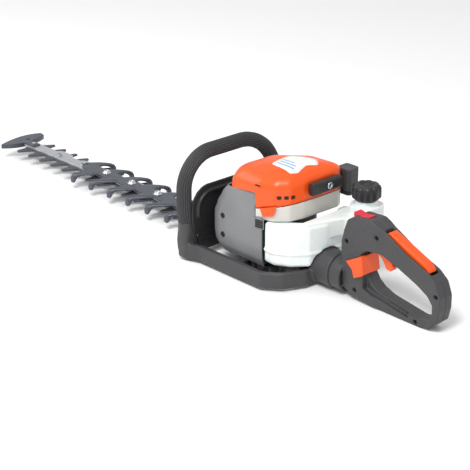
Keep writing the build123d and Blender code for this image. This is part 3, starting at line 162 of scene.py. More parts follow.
ALONG_BAR = (0.06, 1, 1)
ORANGE = linear(236, 82, 6)
FINISHES = {
    "orange_plastic": finish("orange_plastic", ORANGE, 0.36, bump=0.10, vary=0.05, scuff=0.15,
                             scuff_factor=1.2),
    "grey_plastic": finish("grey_plastic", linear(122, 123, 125), 0.50, bump=0.25, vary=0.07),
    "light_grey_plastic": finish("light_grey_plastic", linear(203, 201, 194), 0.45, bump=0.12, vary=0.05,
                                 scuff_factor=0.8),
    "tank_plastic": finish("tank_plastic", linear(232, 238, 236), 0.34, bump=0.06, vary=0.05, soft=0.35,
                           scuff_factor=0.85),
    "black_plastic": finish("black_plastic", linear(34, 34, 36), 0.46, bump=0.22, vary=0.15,
                            scuff_factor=2.2),
    "dark_grey_plastic": finish("dark_grey_plastic", linear(60, 60, 62), 0.52, bump=0.28, vary=0.08),
    "slate_plastic": finish("slate_plastic", linear(70, 74, 83), 0.36, bump=0.2, vary=0.10, metal=0.25,
                            scuff=0.4, scuff_factor=2.0),
    "red_plastic": finish("red_plastic", linear(204, 24, 48), 0.38, bump=0.10, vary=0.06),
    "grip_rubber": finish("grip_rubber", linear(54, 54, 56), 0.62, bump=0.35, vary=0.12, scuff_factor=1.8),
    "damper_rubber": finish("damper_rubber", linear(30, 30, 30), 0.75, bump=0.3, vary=0.12),
    "cast_aluminium": finish("cast_aluminium", linear(104, 105, 108), 0.48, grain=900, bump=0.45,
                             vary=0.08, metal=0.8),
    "blade_steel": finish("blade_steel", linear(92, 94, 100), 0.34, grain=1800, bump=0.14, vary=0.14,
                          metal=0.9, stretch=ALONG_BAR, scuff=0.5, scuff_factor=2.2),
    "bar_aluminium": finish("bar_aluminium", linear(190, 193, 198), 0.36, grain=1800, bump=0.10, vary=0.07,
                            metal=0.75, stretch=ALONG_BAR, scuff=0.35, scuff_factor=0.7),
    "bolt_steel": finish("bolt_steel", linear(205, 206, 210), 0.24, bump=0.06, vary=0.06, metal=1.0),
    "machined_steel": finish("machined_steel", linear(160, 162, 166), 0.30, grain=1800, bump=0.08, metal=1.0),
    "tube_metal": finish("tube_metal", linear(120, 122, 126), 0.34, bump=0.06, metal=0.9),
    "filter_foam": finish("filter_foam", linear(60, 58, 52), 0.9, grain=700, bump=0.8),
    "rope_fibre": finish("rope_fibre", linear(222, 220, 210), 0.75, grain=2200, bump=0.6),
    "spark_ceramic": finish("spark_ceramic", linear(236, 234, 228), 0.22, bump=0.04, vary=0.04),
    "muffler_steel": finish("muffler_steel", linear(110, 100, 92), 0.46, bump=0.2, vary=0.2, metal=0.9),
}
# near-black finish: painted shade inside the vents, the window, holes and screw recesses; also the muffler's
# near-black colour
NEAR_BLACK_AND_SHADE = finish("near_black_and_painted_shade", linear(22, 22, 24), 0.7, bump=0.2, vary=0.2, scuff=0.05)
PALE = finish("label_pale", linear(226, 226, 222), 0.3, bump=0.04, vary=0.03, scuff=0.1, scuff_factor=0.85,
              coat=0.3)

# ---------------------------------------------------------------- CAD nodes
# moulded and cast pieces: voxel size in mm and number of rounding passes
MOULDED = {
    "starter_cover": (1.1, 18), "cylinder_cover": (1.2, 14), "fan_housing": (1.2, 8), "rear_shroud": (1.2, 6),
    "air_filter_cover": (1.0, 14), "fuel_tank": (1.2, 16), "rear_handle_left": (1.2, 10),
    "rear_handle_right": (1.2, 10), "base_frame": (1.3, 36), "hand_guard": (1.3, 6), "tooth_guard": (1.0, 10),
    "tip_guard": (0.9, 8), "starter_grip": (0.8, 12), "throttle_trigger": (0.7, 10),
    "trigger_lockout": (0.8, 10), "stop_switch": (0.6, 8), "handle_lock_lever": (0.8, 8),
    "gearcase_upper": (1.2, 6), "gearcase_lower": (1.2, 6), "clutch_housing": (1.3, 5),
    "choke_lever": (0.6, 5), "spark_plug_cap": (0.8, 8),
}
BEVEL = {"blade_bolts": 0.35, "blade_nuts": 0.3, "lower_blade": 0.25, "upper_blade": 0.25, "guide_bar": 0.3,
         "fuel_cap": 0.7}
ROUND_ANGLE = math.radians(32)    # only corners sharper than this are bevelled
# the handle screws are drawn near-black as painted shade of their holes; the muffler is drawn near-black
DARK_NODES = ("handle_screws", "muffler")
WELD = 0.00001                    # corners of a CAD mesh closer than this are joined, in metres
EDGE = 0.4                        # bevel of a CAD node that has none of its own in BEVEL, in mm


def rounded(obj, voxel, passes):
    """Rebuilds the piece as one skin and rounds its edges."""
    remesh = obj.modifiers.new("remesh", "REMESH")
    remesh.mode = "VOXEL"
    remesh.voxel_size = voxel * MM
    remesh.use_smooth_shade = True
    smooth = obj.modifiers.new("smooth", "SMOOTH")
    smooth.factor = 0.5
    smooth.iterations = passes


def bevelled(obj, width, segments):
    """Narrow bevels, in mm, on the piece's sharp edges."""
    bevel = obj.modifiers.new("bevel", "BEVEL")
    bevel.width = width * MM
    bevel.segments = segments
    bevel.limit_method = "ANGLE"
    bevel.angle_limit = ROUND_ANGLE
    bevel.harden_normals = True


def dress(name, node):
    """Finish, rounded edges and clean shading for one CAD node."""
    mesh = node.data
    mesh.materials.clear()
    mesh.materials.append(NEAR_BLACK_AND_SHADE if name in DARK_NODES else FINISHES[slot_of[name]])
    if "custom_normal" in mesh.attributes:
        mesh.attributes.remove(mesh.attributes["custom_normal"])
    weld = node.modifiers.new("weld", "WELD")
    weld.merge_threshold = WELD
    if name in MOULDED:
        rounded(node, *MOULDED[name])
        return
    for polygon in mesh.polygons:
        polygon.use_smooth = True
    bevelled(node, BEVEL.get(name, EDGE), 2)


for name, node in nodes.items():
    dress(name, node)


# ---------------------------------------------------------------- mesh tools
def piece(name, verts, faces, material, body, smooth=True, bevel=0.0):
    """A mesh piece with outward faces, riding on a body."""
    mesh = bpy.data.meshes.new(name)
    mesh.from_pydata([tuple(v) for v in verts], [], faces)
    work = bmesh.new()
    work.from_mesh(mesh)
    bmesh.ops.recalc_face_normals(work, faces=work.faces)
    work.to_mesh(mesh)
    work.free()
    mesh.materials.append(material)
    for polygon in mesh.polygons:
        polygon.use_smooth = smooth
    obj = bpy.data.objects.new(name, mesh)
    bpy.context.scene.collection.objects.link(obj)
    if bevel:
        bevelled(obj, bevel, 3)
    if body:
        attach(obj, body)
    return obj


def tube(rings, closed_ends=True):
    """Vertices and faces of a skin through rings that all have the same number of points."""
    count = len(rings[0])
    verts = [point for ring in rings for point in ring]
    faces = []
    for i in range(len(rings) - 1):
        for j in range(count):
            k = (j + 1) % count
            faces.append((i * count + j, i * count + k, (i + 1) * count + k, (i + 1) * count + j))
    if closed_ends:
        faces.append(tuple(range(count)))
        faces.append(tuple(range((len(rings) - 1) * count, len(rings) * count)))
    return verts, faces


def lathe(name, profile, centre, axis, material, body, steps=40):
    """A turned piece: profile is (radius, height) in mm, and height runs along axis from centre."""
    turn = Vector(axis).normalized().to_track_quat("Z", "Y").to_matrix()
    rings = []
    for radius, height in profile:
        ring = []
        for i in range(steps):
            angle = 2 * math.pi * i / steps
            local = Vector((radius * math.cos(angle), radius * math.sin(angle), height)) * MM
            ring.append(Vector(centre) + turn @ local)
        rings.append(ring)
    return piece(name, *tube(rings), material, body)


def screw(name, centre, axis, radius, body, material):
    """A pan-head screw with a round driver socket."""
    profile = [
        (radius, -1.0), (radius, 1.1), (0.86 * radius, 1.9), (0.46 * radius, 2.1), (0.42 * radius, 0.7),
        (0.05, 0.6),
    ]
    lathe(name, profile, centre, axis, material, body, 32)


def prism(name, outline, origin, right, up, depth, material, body, bevel=0.6):
    """A plate: outline in mm in the plane of right and up through origin, thickened along their normal."""
    right, up = Vector(right).normalized(), Vector(up).normalized()
    out = right.cross(up).normalized()
    rings = []
    for level in (0.0, depth):
        rings.append([Vector(origin) + (right * a + up * b + out * level) * MM for a, b in outline])
    piece(name, *tube(rings), material, body, smooth=False, bevel=bevel)


STRAIGHT = math.radians(89.5)    # half the angle of a corner too straight to need an arc


def rounded_path(points, radii, step):
    """Polyline through points with arcs of the given radii at its inner corners, in metres."""
    path = [Vector(points[0])]
    for before, corner, after, radius in zip(points, points[1:], points[2:], radii):
        corner = Vector(corner)
        a = (Vector(before) - corner).normalized()
        b = (Vector(after) - corner).normalized()
        half = a.angle(b) / 2
        if half > STRAIGHT:
            path.append(corner)
            continue
        reach = radius / math.tan(half)
        centre = corner + (a + b).normalized() * (radius / math.sin(half))
        start, end = corner + a * reach, corner + b * reach
        sweep = (start - centre).angle(end - centre)
        pieces = max(3, int(radius * sweep / step))
        for i in range(pieces + 1):
            spoke = (start - centre).lerp(end - centre, i / pieces)
            path.append(centre + spoke.normalized() * radius)
    path.append(Vector(points[-1]))
    full = []
    for a, b in zip(path, path[1:]):
        parts = max(1, int((b - a).length / step))
        full += [a.lerp(b, i / parts) for i in range(parts)]
    return full + [path[-1]]


def rounded_loop(points, radius, count):
    """Closed plan outline with rounded corners, as evenly spaced (x, y) points in mm."""
    path = []
    for i, corner in enumerate(points):
        corner = Vector(corner)
        a = Vector(points[i - 1]) - corner
        b = Vector(points[(i + 1) % len(points)]) - corner
        half = a.angle(b) / 2
        reach = min(radius / math.tan(half), 0.48 * a.length, 0.48 * b.length)
        start, end = corner + a.normalized() * reach, corner + b.normalized() * reach
        for k in range(9):
            t = k / 8
            path.append(start * (1 - t) ** 2 + corner * 2 * t * (1 - t) + end * t * t)
    lengths = [0.0]
    for a, b in zip(path, path[1:] + path[:1]):
        lengths.append(lengths[-1] + (b - a).length)
    out, k = [], 0
    for i in range(count):
        want = lengths[-1] * i / count
        while lengths[k + 1] < want:
            k += 1
        t = (want - lengths[k]) / (lengths[k + 1] - lengths[k])
        out.append(path[k].lerp(path[(k + 1) % len(path)], t))
    return out


def curve(table, x):
    """Smooth value at x through the (x, value) pairs of a short table."""
    if x <= table[0][0]:
        return table[0][1]
    for (x0, y0), (x1, y1) in zip(table, table[1:]):
        if x <= x1:
            t = (x - x0) / (x1 - x0)
            return y0 + (y1 - y0) * (t * t * (3 - 2 * t) + t) / 2
    return table[-1][1]


def edge_reach(c, d, square):
    """Distance in the direction (c, d) to the edge of a rounded square: 2 is round, more is squarer."""
    return (abs(c) ** square + abs(d) ** square) ** (-1 / square)


def solidify(obj, thickness):
    """Gives an open skin its wall, inwards."""
    wall = obj.modifiers.new("wall", "SOLIDIFY")
    wall.thickness = thickness * MM
    wall.offset = -1


# ---------------------------------------------------------------- loop grip
grip_low, grip_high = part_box("handle_grip")
GRIP_R = (grip_high.x - grip_low.x) / 2
LOOP_X = (grip_high.x + grip_low.x) / 2
LOOP_Y = grip_high.y - GRIP_R
LOOP_TOP = grip_high.z - GRIP_R
LEG_Y = LOOP_Y - 6 * MM
LEG_BENDS = (grip_low.z + 10 * MM, grip_low.z + 50 * MM)
LEG_RADIUS = 60 * MM
LEFT_RADIUS, RIGHT_RADIUS = 62 * MM, 88 * MM
RIBS = 20
RIB_DEPTH = 1.8 * MM
FOOT_RINGS = 5               # rings of the grip's smooth foot, before the ribs begin


def ribbed_grip():
    """The rubber of the loop handle, with ribs along it and a smooth foot at each end."""
    left = [
        (LOOP_X, -LEG_Y, grip_low.z), (LOOP_X, -LEG_Y, LEG_BENDS[0]), (LOOP_X, -LOOP_Y, LEG_BENDS[1]),
        (LOOP_X, -LOOP_Y, LOOP_TOP),
    ]
    right = [(x, -y, z) for x, y, z in reversed(left)]
    radii = [LEG_RADIUS, LEG_RADIUS, LEFT_RADIUS, RIGHT_RADIUS, LEG_RADIUS, LEG_RADIUS]
    path = rounded_path(left + right, radii, 3 * MM)
    rings = []
    across = Vector((1, 0, 0))
    steps = RIBS * 6
    length = len(path)
    for i, point in enumerate(path):
        ahead = path[min(i + 1, length - 1)] - path[max(i - 1, 0)]
        side = ahead.normalized().cross(across).normalized()
        from_end = min(i, length - 1 - i)
        depth = RIB_DEPTH * min(1.0, max(0.0, (from_end - FOOT_RINGS) / 3))
        radius = GRIP_R - (0.9 * MM if from_end in (0, FOOT_RINGS) else 0.05 * MM)
        ring = []
        for j in range(steps):
            angle = 2 * math.pi * j / steps
            r = radius - depth * (0.5 - 0.5 * math.cos(RIBS * angle)) ** 2
            ring.append(point + (across * math.cos(angle) + side * math.sin(angle)) * r)
        rings.append(ring)
    obj = piece("loop_grip_rubber", *tube(rings), FINISHES["grip_rubber"], "frame")
    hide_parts("handle_grip")


ribbed_grip()

# height, half length, half width and squareness of a boot's sections, in mm
BOOT = [
    (16, 12.5, 14.5, 5.0), (34, 13.6, 15.6, 5.0), (46, 14.2, 15.0, 3.5), (58, 14.2, 14.6, 2.4),
    (70, 13.9, 14.1, 2.0),
]
BEND_Z = 54                  # the loop's legs lean outwards above this height
BEND_SLOPE = 0.15


def boot(side):
    """The smooth foot that carries the loop's rubber down onto the frame."""
    rings = []
    for height, half_x, half_y, square in BOOT:
        shift = max(0.0, height - BEND_Z) * BEND_SLOPE
        ring = []
        for j in range(56):
            angle = 2 * math.pi * j / 56
            c, d = math.cos(angle), math.sin(angle)
            reach = edge_reach(c, d, square)
            x = LOOP_X + c * reach * half_x * MM
            y = side * (LEG_Y + shift * MM) + d * reach * half_y * MM
            ring.append((x, y, height * MM))
        rings.append(ring)
    name = "loop_boot_right" if side > 0 else "loop_boot_left"
    obj = piece(name, *tube(rings), FINISHES["dark_grey_plastic"], "frame")
    rounded(obj, 1.0, 10)


boot(-1)
boot(1)


# ---------------------------------------------------------------- starter
cover_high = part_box("starter_cover")[1]
COVER_TOP = cover_high.z / MM - 0.4
# plan of the starter cover, in mm
COVER_OUTLINE = [
    (-114, -44), (-92, -76), (-24, -79.5), (8, -70), (26, -50), (32, -22), (33, 60), (25, 76), (-40, 76),
    (-108, 24),
]
COVER_CORNER = 22
COVER_WALL = 2.2
CROWN_AT = Vector((-12, 2))  # middle of the crown, seen from above
SPLIT_X = -27.2              # behind this the starter cover comes lower and the grey cover steps down


def cover_foot(x):
    """Height of the starter cover's lower edge."""
    if x > SPLIT_X:
        return 131.6 + 0.233 * (x - SPLIT_X)
    return 159.0 + (0.127 if x > -98 else 0.16) * (x - SPLIT_X)


def wall_top(p):
    """Height where the starter cover's wall turns into its crown, rising to the rear and the right."""
    return 168 + 0.075 * (p.x + 42) + 0.06 * (p.y - 13)


def starter_dome():
    """The orange cover: upright walls, rounded shoulders and a shallow crown. Returns its ray-cast tree."""
    outline = rounded_loop(COVER_OUTLINE, COVER_CORNER, 220)
    draft = 0.012            # share by which the wall narrows from foot to top
    wall_rings, crown_rings = 6, 24
    rings = []
    for k in range(wall_rings + 1):
        ring = []
        for p in outline:
            foot = cover_foot(p.x)
            q = CROWN_AT + (p - CROWN_AT) * (1 - draft * k / wall_rings)
            ring.append(Vector((q.x, q.y, foot + (wall_top(p) - foot) * k / wall_rings)) * MM)
        rings.append(ring)
    for k in range(1, crown_rings + 1):
        rise = math.sin(math.pi / 2 * k / crown_rings)
        spread = max((1 - draft) * (1 - rise ** 2.3) ** 0.5, 0.01)
        groove = 0.9 * math.exp(-((rise - 0.80) / 0.06) ** 2)
        ring = []
        for p in outline:
            q = CROWN_AT + (p - CROWN_AT) * spread
            z = wall_top(p) + (COVER_TOP - wall_top(p)) * rise - groove
            ring.append(Vector((q.x, q.y, z)) * MM)
        rings.append(ring)
    verts, faces = tube(rings, closed_ends=False)
    count = len(outline)
    faces.append(tuple(range(len(verts) - count, len(verts))))
    obj = piece("starter_cover_shell", verts, faces, FINISHES["orange_plastic"], "frame")
    solidify(obj, COVER_WALL)
    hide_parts("starter_cover")
    return BVHTree.FromPolygons([Vector(v) for v in verts], faces)


cover_tree = starter_dome()


def draped(name, outline, radius, material, proud):
    """A thin label on the crown of the starter cover: outline in mm, seen from above."""
    edge = rounded_loop(outline, radius, 120)
    middle = sum(edge, Vector((0, 0))) / len(edge)
    rings = []
    levels = [(1.0, proud - 0.7)] + [(t, proud) for t in (1.0, 0.85, 0.65, 0.45, 0.25, 0.03)]
    above = 400              # the rays start this high, clear of the whole part
    for t, lift in levels:
        ring = []
        for p in edge:
            q = middle + (p - middle) * t
            hit = cover_tree.ray_cast(Vector((q.x, q.y, above)) * MM, Vector((0, 0, -1)))[0]
            ring.append(Vector((q.x * MM, q.y * MM, hit.z + lift * MM)))
        rings.append(ring)
    piece(name, *tube(rings), material, "frame")


LABEL = [(-39, -31), (-45, 23), (-4, 42), (16, 28), (8, 6), (16, -22), (10, -34)]
draped("starter_label", LABEL, 7, PALE, 0.35)
SOFT_BLUE = finish("label_blue", linear(120, 160, 205), 0.35, bump=0.04, vary=0.04, scuff=0.05)
# plain lines on the label: front end, rear end and left edge
for n, (x0, x1, y0) in enumerate(((-33, 6, -24), (-34, 2, -16), (-36, -8, -8))):
    line = [(x0, y0), (x1, y0 + 1), (x1 - 1, y0 + 4), (x0 - 0.5, y0 + 3)]
    draped(f"starter_label_line_{n}", line, 1, SOFT_BLUE, 0.55)


def on_cover(start, direction):
    """Point and outward normal where a ray meets the starter cover."""
    point, normal = cover_tree.ray_cast(Vector(start) * MM, Vector(direction).normalized())[:2]
    if normal.dot(Vector(direction)) > 0:
        normal = -normal
    return point, normal


def slot_on_cover(name, start, direction, width, height):
    """A vent: a raised rim round a near-black plate that paints the shade inside the opening, flat on the
    wall.
    """
    point, normal = on_cover(start, direction)
    across = Vector((0, 0, 1)).cross(normal).normalized()
    upward = normal.cross(across).normalized()
    # the "dark" part is painted shade standing in for the opening
    parts = (("rim", 1.2, -0.6, FINISHES["orange_plastic"]), ("dark", 0.0, -0.4, NEAR_BLACK_AND_SHADE))
    for part, grow, lift, material in parts:
        half_w, half_h = width / 2 + grow, height / 2 + grow
        corners = [(-half_w, -half_h), (half_w, -half_h), (half_w, half_h), (-half_w, half_h)]
        outline = [tuple(p) for p in rounded_loop(corners, 2, 32)]
        at = point + normal * lift * MM
        prism(f"{name}_{part}", outline, at, across, upward, 1.0, material, "frame", 0.2)


for n, y in enumerate((-60, -48, -36)):
    slot_on_cover(f"starter_vent_{n}", (90, y - 30, 157), (-1, 0.35, 0), 8, 6.5)
slot_on_cover("starter_notch", (-24, -120, 172), (0, 1, 0), 12, 3)

# rope between the wall and the grip
pull_low, pull_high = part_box("starter_grip")
ROPE_R = 1.7
ROPE_LAY = 0.18              # depth of the valleys between the rope's three strands
ROPE_TWIST = 150.0
rope_low, rope_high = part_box("starter_rope")
rope_y = (rope_low.y + rope_high.y) / 2
rope_z = (rope_low.z + rope_high.z) / 2
rope_start = Vector((cover_high.x - 5 * MM, rope_y, rope_z))
rope_end = Vector((pull_low.x + 6 * MM, rope_y, rope_z))


def rope():
    """Three-strand rope from the starter cover's wall to the grip, on no body."""
    rings = []
    spans = 240
    for i in range(spans + 1):
        t = i / spans
        centre = rope_start.lerp(rope_end, t)
        ring = []
        for j in range(24):
            angle = 2 * math.pi * j / 24
            r = (ROPE_R + ROPE_LAY * math.cos(3 * angle + ROPE_TWIST * t)) * MM
            ring.append(centre + Vector((0, math.cos(angle) * r, math.sin(angle) * r)))
        rings.append(ring)
    obj = piece("starter_rope_laid", *tube(rings), FINISHES["rope_fibre"], None)
    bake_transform(obj)
    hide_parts("starter_rope")


rope()

# metal eyelet that the rope's knot sits in, on the outside of the grip
EYELET = [(6.2, -1.5), (6.2, 0.5), (5.4, 1.1), (3.6, 1.1), (3.0, 0.4), (3.0, -1.0)]
eyelet_at = (pull_high.x - 0.2 * MM, rope_y, rope_z)
lathe("grip_eyelet", EYELET, eyelet_at, (1, 0, 0), FINISHES["bolt_steel"], "starter_grip", 40)
# a near-black disc in the eyelet paints the shade inside its hole
EYELET_HOLE = [(3.1, -1.2), (3.1, -0.5), (0.05, -0.5)]
lathe("grip_eyelet_hole", EYELET_HOLE, eyelet_at, (1, 0, 0), NEAR_BLACK_AND_SHADE, "starter_grip", 40)

# lower tab of the orange cover, over the left face of the housing: X and Z in mm
TAB = [(-16, 134), (14, 143), (10, 127), (6, 123.5), (-8, 120.5), (-12, 122)]
TAB_Y = -73.2                # the slanted face's place at X 0, in mm
tab_right = Vector((32, 10, 0)).normalized()
tab_outline = [(x / tab_right.x, z) for x, z in TAB]
prism("starter_tab", tab_outline, Vector((0, TAB_Y * MM, 0)), tab_right, (0, 0, 1), 2.4,
      FINISHES["orange_plastic"], "frame", 0.8)

# ---------------------------------------------------------------- cylinder cover
front_low, front_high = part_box("cylinder_cover")
side_y = front_low.y
# how far the front and the sides stand back from the widest section: (height, distance) in mm
FRONT_SET_BACK = [
    (27, 14), (34, 8), (46, 1.5), (60, 0.3), (93, 0.3), (110, 7), (131, 19), (150, 34), (160, 44),
]
SIDE_SET_BACK = [(27, 6), (40, 1.5), (60, 0.3), (120, 0.3), (145, 2.0), (160, 4.5)]
SHELL_FOOT = 27
SHELL_WALL = 2.4
REAR_LEFT, REAR_RIGHT = -11.5, -28.0
CORNER_LEFT, CORNER_RIGHT = 34.0, 24.0
NOSE_X = -98                 # the upper edge falls faster in front of this


def shell_top(x):
    """Height of the grey cover's upper edge."""
    if x < NOSE_X:
        return 150.6 + 0.3 * (x - NOSE_X)
    return 159.6 + 0.127 * (x - SPLIT_X) if x < SPLIT_X else 118.0


def cylinder_shell():
    """The grey cover: a front that leans back at the top, round corners, and two sides."""
    front_x, left_y, right_y = front_low.x / MM, side_y / MM, front_high.y / MM
    rows, columns = 46, 120
    verts = []
    for k in range(rows + 1):
        for i in range(columns + 1):
            z = SHELL_FOOT + (150 - SHELL_FOOT) * k / rows
            # the section depends on the height, and the height on the section, so they are found in turns
            for _ in range(3):
                back_off, side_off = curve(FRONT_SET_BACK, z), curve(SIDE_SET_BACK, z)
                x, y = u_section(i / columns, front_x + back_off, left_y + side_off, right_y - side_off)
                z = SHELL_FOOT + (shell_top(x) - SHELL_FOOT) * k / rows
            verts.append(Vector((x, y, z)) * MM)
    count = columns + 1
    faces = []
    for k in range(rows):
        for i in range(columns):
            a = k * count + i
            faces.append((a, a + 1, a + 1 + count, a + count))
    obj = piece("cylinder_cover_shell", verts, faces, FINISHES["grey_plastic"], "frame")
    solidify(obj, SHELL_WALL)
    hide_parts("cylinder_cover")


def u_section(t, front, left, right):
    """Point at share t of the way round the cover's plan, from the left rear edge over the front."""
    legs = [
        REAR_LEFT - front - CORNER_LEFT, math.pi / 2 * CORNER_LEFT,
        right - left - CORNER_LEFT - CORNER_RIGHT, math.pi / 2 * CORNER_RIGHT,
        REAR_RIGHT - front - CORNER_RIGHT,
    ]
    s = t * sum(legs)
    if s < legs[0]:
        return REAR_LEFT - s, left
    s -= legs[0]
    if s < legs[1]:
        a = s / CORNER_LEFT
        return front + CORNER_LEFT * (1 - math.sin(a)), left + CORNER_LEFT * (1 - math.cos(a))
    s -= legs[1]
    if s < legs[2]:
        return front, left + CORNER_LEFT + s
    s -= legs[2]
    if s < legs[3]:
        a = s / CORNER_RIGHT
        return front + CORNER_RIGHT * (1 - math.cos(a)), right - CORNER_RIGHT * (1 - math.sin(a))
    s -= legs[3]
    return front + CORNER_RIGHT + s, right


cylinder_shell()


def on_left_side(name, outline, inset, depth, material, bevel):
    """A plate on the cover's left side, its outline in X and Z, starting inset mm inside the side's face."""
    origin = Vector((0, side_y + inset * MM, 0))
    prism(name, outline, origin, (1, 0, 0), (0, 0, 1), depth, material, "frame", bevel)


# window with slats at the cover's left rear edge; a near-black plate behind the slats paints the shade inside
# it
WINDOW_SLATS = 3
WINDOW = [(-27.5, 96), (-5.5, 98), (-5.5, 116), (-27.5, 114)]
WINDOW_INSIDE = [(-26, 97.6), (-7, 99.4), (-7, 114.4), (-26, 112.6)]
on_left_side("window_rim", WINDOW, 0.6, 1.2, FINISHES["grey_plastic"], 0.5)
on_left_side("window_painted_shade", WINDOW_INSIDE, 0.2, 1.1, NEAR_BLACK_AND_SHADE, 0.3)
for n in range(WINDOW_SLATS):
    z = 101.0 + 4.2 * n
    slat = [(-26, z), (-7, z + 1.5), (-7, z + 2.7), (-26, z + 1.2)]
    on_left_side(f"window_slat_{n}", slat, -0.3, 0.9, FINISHES["dark_grey_plastic"], 0.25)

SIDE_SCREW_X = -108
# the side screws are drawn near-black as painted shade of their holes
for n, z in enumerate((94, 59)):
    screw_at = (SIDE_SCREW_X * MM, side_y + 0.9 * MM, z * MM)
    screw(f"cover_side_screw_{n}", screw_at, (0, -1, 0), 5.0, "frame", NEAR_BLACK_AND_SHADE)

# ---------------------------------------------------------------- fuel cap
cap_low, cap_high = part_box("fuel_cap")
CAP_LOBES = 9
# share of the cap's height, share of its radius, and depth of the flutes as a share of the radius
CAP_LEVELS = [
    (0.0, 0.70, 0.0), (0.30, 0.72, 0.0), (0.36, 0.93, 0.06), (0.42, 0.97, 0.10), (0.80, 0.96, 0.12),
    (0.92, 0.90, 0.12), (0.98, 0.78, 0.09), (1.0, 0.66, 0.05), (0.99, 0.52, 0.0), (0.93, 0.46, 0.0),
    (0.92, 0.40, 0.0), (0.92, 0.24, 0.0), (0.97, 0.20, 0.0), (0.98, 0.05, 0.0),
]


def lobed_cap():
    """The tank's cap: a lobed knob with a dished top on a plain neck."""
    middle = (cap_low + cap_high) / 2
    full = (cap_high.x - cap_low.x) / 2
    height = cap_high.z - cap_low.z
    rings = []
    for share, radius, depth in CAP_LEVELS:
        ring = []
        for j in range(180):
            angle = 2 * math.pi * j / 180
            r = full * (radius - depth * (0.5 - 0.5 * math.cos(CAP_LOBES * angle)) ** 2)
            x, y = middle.x + r * math.cos(angle), middle.y + r * math.sin(angle)
            ring.append((x, y, cap_low.z + share * height))
        rings.append(ring)
    obj = piece("fuel_cap_knob", *tube(rings), FINISHES["black_plastic"], "fuel_cap")
    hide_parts("fuel_cap")


lobed_cap()

# ---------------------------------------------------------------- tooth guard
guard_low, guard_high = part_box("tooth_guard")
CLAW_PITCH = 57.0            # places and lengths along the guard are in mm
CLAW_FIRST = -580.0
CLAW_REACH = guard_high.y / MM - 0.6
CLAW_LEAN = 20.0
CLAW_STAGGER = 5.0           # the right claws sit this far behind the left ones
CLAW_SQUARE = 3.2            # squareness of a claw's section
HOOK_Z = guard_low.z / MM
SPINE_FRONT = CLAW_FIRST - 22
GUARD_TOP = guard_high.z / MM
PLATE_BASE = GUARD_TOP - 5.0
GUARD_REAR = guard_high.x / MM


def claw(tip_x, side):
    """One claw: a thick arm that leans forward, with its end bent down and blunt."""
    lean = CLAW_LEAN * side
    root = tip_x - lean
    # X, distance from the centre line, underside, top and half width
    stations = (
        (root, 6, PLATE_BASE, GUARD_TOP, 19), (root + 0.12 * lean, 17, PLATE_BASE, GUARD_TOP, 15),
        (root + 0.36 * lean, 28, PLATE_BASE - 0.4, GUARD_TOP, 10.5),
        (root + 0.72 * lean, 37, PLATE_BASE - 2.2, GUARD_TOP - 0.6, 8.2),
        (tip_x, 43.5, PLATE_BASE - 6.5, GUARD_TOP - 1.6, 7.4),
        (tip_x + 0.04 * lean, 48.0, HOOK_Z + 1.0, GUARD_TOP - 4.0, 6.8),
        (tip_x + 0.06 * lean, CLAW_REACH, HOOK_Z + 0.4, GUARD_TOP - 8.5, 5.6),
    )
    rings = []
    for x, y, low, high, half in stations:
        mid_z, half_z = (low + high) / 2, (high - low) / 2
        ring = []
        for j in range(20):
            angle = 2 * math.pi * j / 20
            c, d = math.cos(angle), math.sin(angle)
            reach = edge_reach(c, d, CLAW_SQUARE)
            ring.append(Vector((x + half * c * reach, side * y, mid_z + half_z * d * reach)) * MM)
        rings.append(ring)
    return tube(rings)


def guard_spine():
    """The strip along the bar, waisted between the claws."""
    rings = []
    spans = 120
    for i in range(spans + 1):
        x = SPINE_FRONT + (GUARD_REAR - SPINE_FRONT) * i / spans
        wave = 0.5 + 0.5 * math.cos(2 * math.pi * (x - CLAW_FIRST - CLAW_STAGGER / 2) / CLAW_PITCH)
        half = 12.5 + 2.5 * wave if 0 < i < spans else 10
        top = GUARD_TOP if 2 < i < spans - 2 else GUARD_TOP - 1.2
        edge = top - 1.2
        section = (
            (-half, PLATE_BASE), (-half, edge), (-half + 3, top), (half - 3, top), (half, edge),
            (half, PLATE_BASE),
        )
        rings.append([Vector((x, y, z)) * MM for y, z in section])
    return tube(rings)


def tooth_guard():
    """The spine and all claws, joined into one rounded casting."""
    verts, faces = guard_spine()
    count = int((GUARD_REAR - CLAW_LEAN - CLAW_FIRST) / CLAW_PITCH) + 1
    for i in range(count):
        left_tip = CLAW_FIRST + CLAW_PITCH * i
        for tip_x, side in ((left_tip, -1), (left_tip + CLAW_STAGGER, 1)):
            more, sides = claw(tip_x, side)
            faces += [tuple(n + len(verts) for n in f) for f in sides]
            verts += more
    obj = piece("tooth_guard_claws", verts, faces, FINISHES["slate_plastic"], "frame")
    rounded(obj, 1.0, 6)
    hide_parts("tooth_guard")


tooth_guard()

BOLT_PITCH = 78.0
BOLT_FIRST = -691.0
BOLT_COUNT = 7
# radius and height along a bolt head and its washer, in mm
BOLT_HEAD = [
    (8.6, 0.0), (8.6, 1.6), (8.2, 1.9), (6.2, 2.0), (6.0, 5.4), (5.3, 6.0), (3.0, 6.0), (2.8, 3.4),
    (0.05, 3.3),
]


def guard_bolts():
    """Shiny socket heads with washers where the blade bolts come up through the guard."""
    for i in range(BOLT_COUNT):
        x = BOLT_FIRST + BOLT_PITCH * i
        if x < SPINE_FRONT:
            continue
        at = (x * MM, 0, (GUARD_TOP - 0.6) * MM)
        lathe(f"guard_bolt_{i}", BOLT_HEAD, at, (0, 0, 1), FINISHES["bolt_steel"], "frame", 36)


guard_bolts()

# dark panel that closes the hand guard down to the frame, open round the bar: Y and Z in mm
SKIRT = [(-92, 14), (-36, 14), (-36, 50), (36, 50), (36, 14), (92, 14), (92, 62), (-92, 62)]
guard_plate_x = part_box("hand_guard")[0].x
prism("hand_guard_skirt", SKIRT, (guard_plate_x + 0.5 * MM, 0, 0), (0, 1, 0), (0, 0, 1), 2.6,
      FINISHES["black_plastic"], "frame", 0.6)

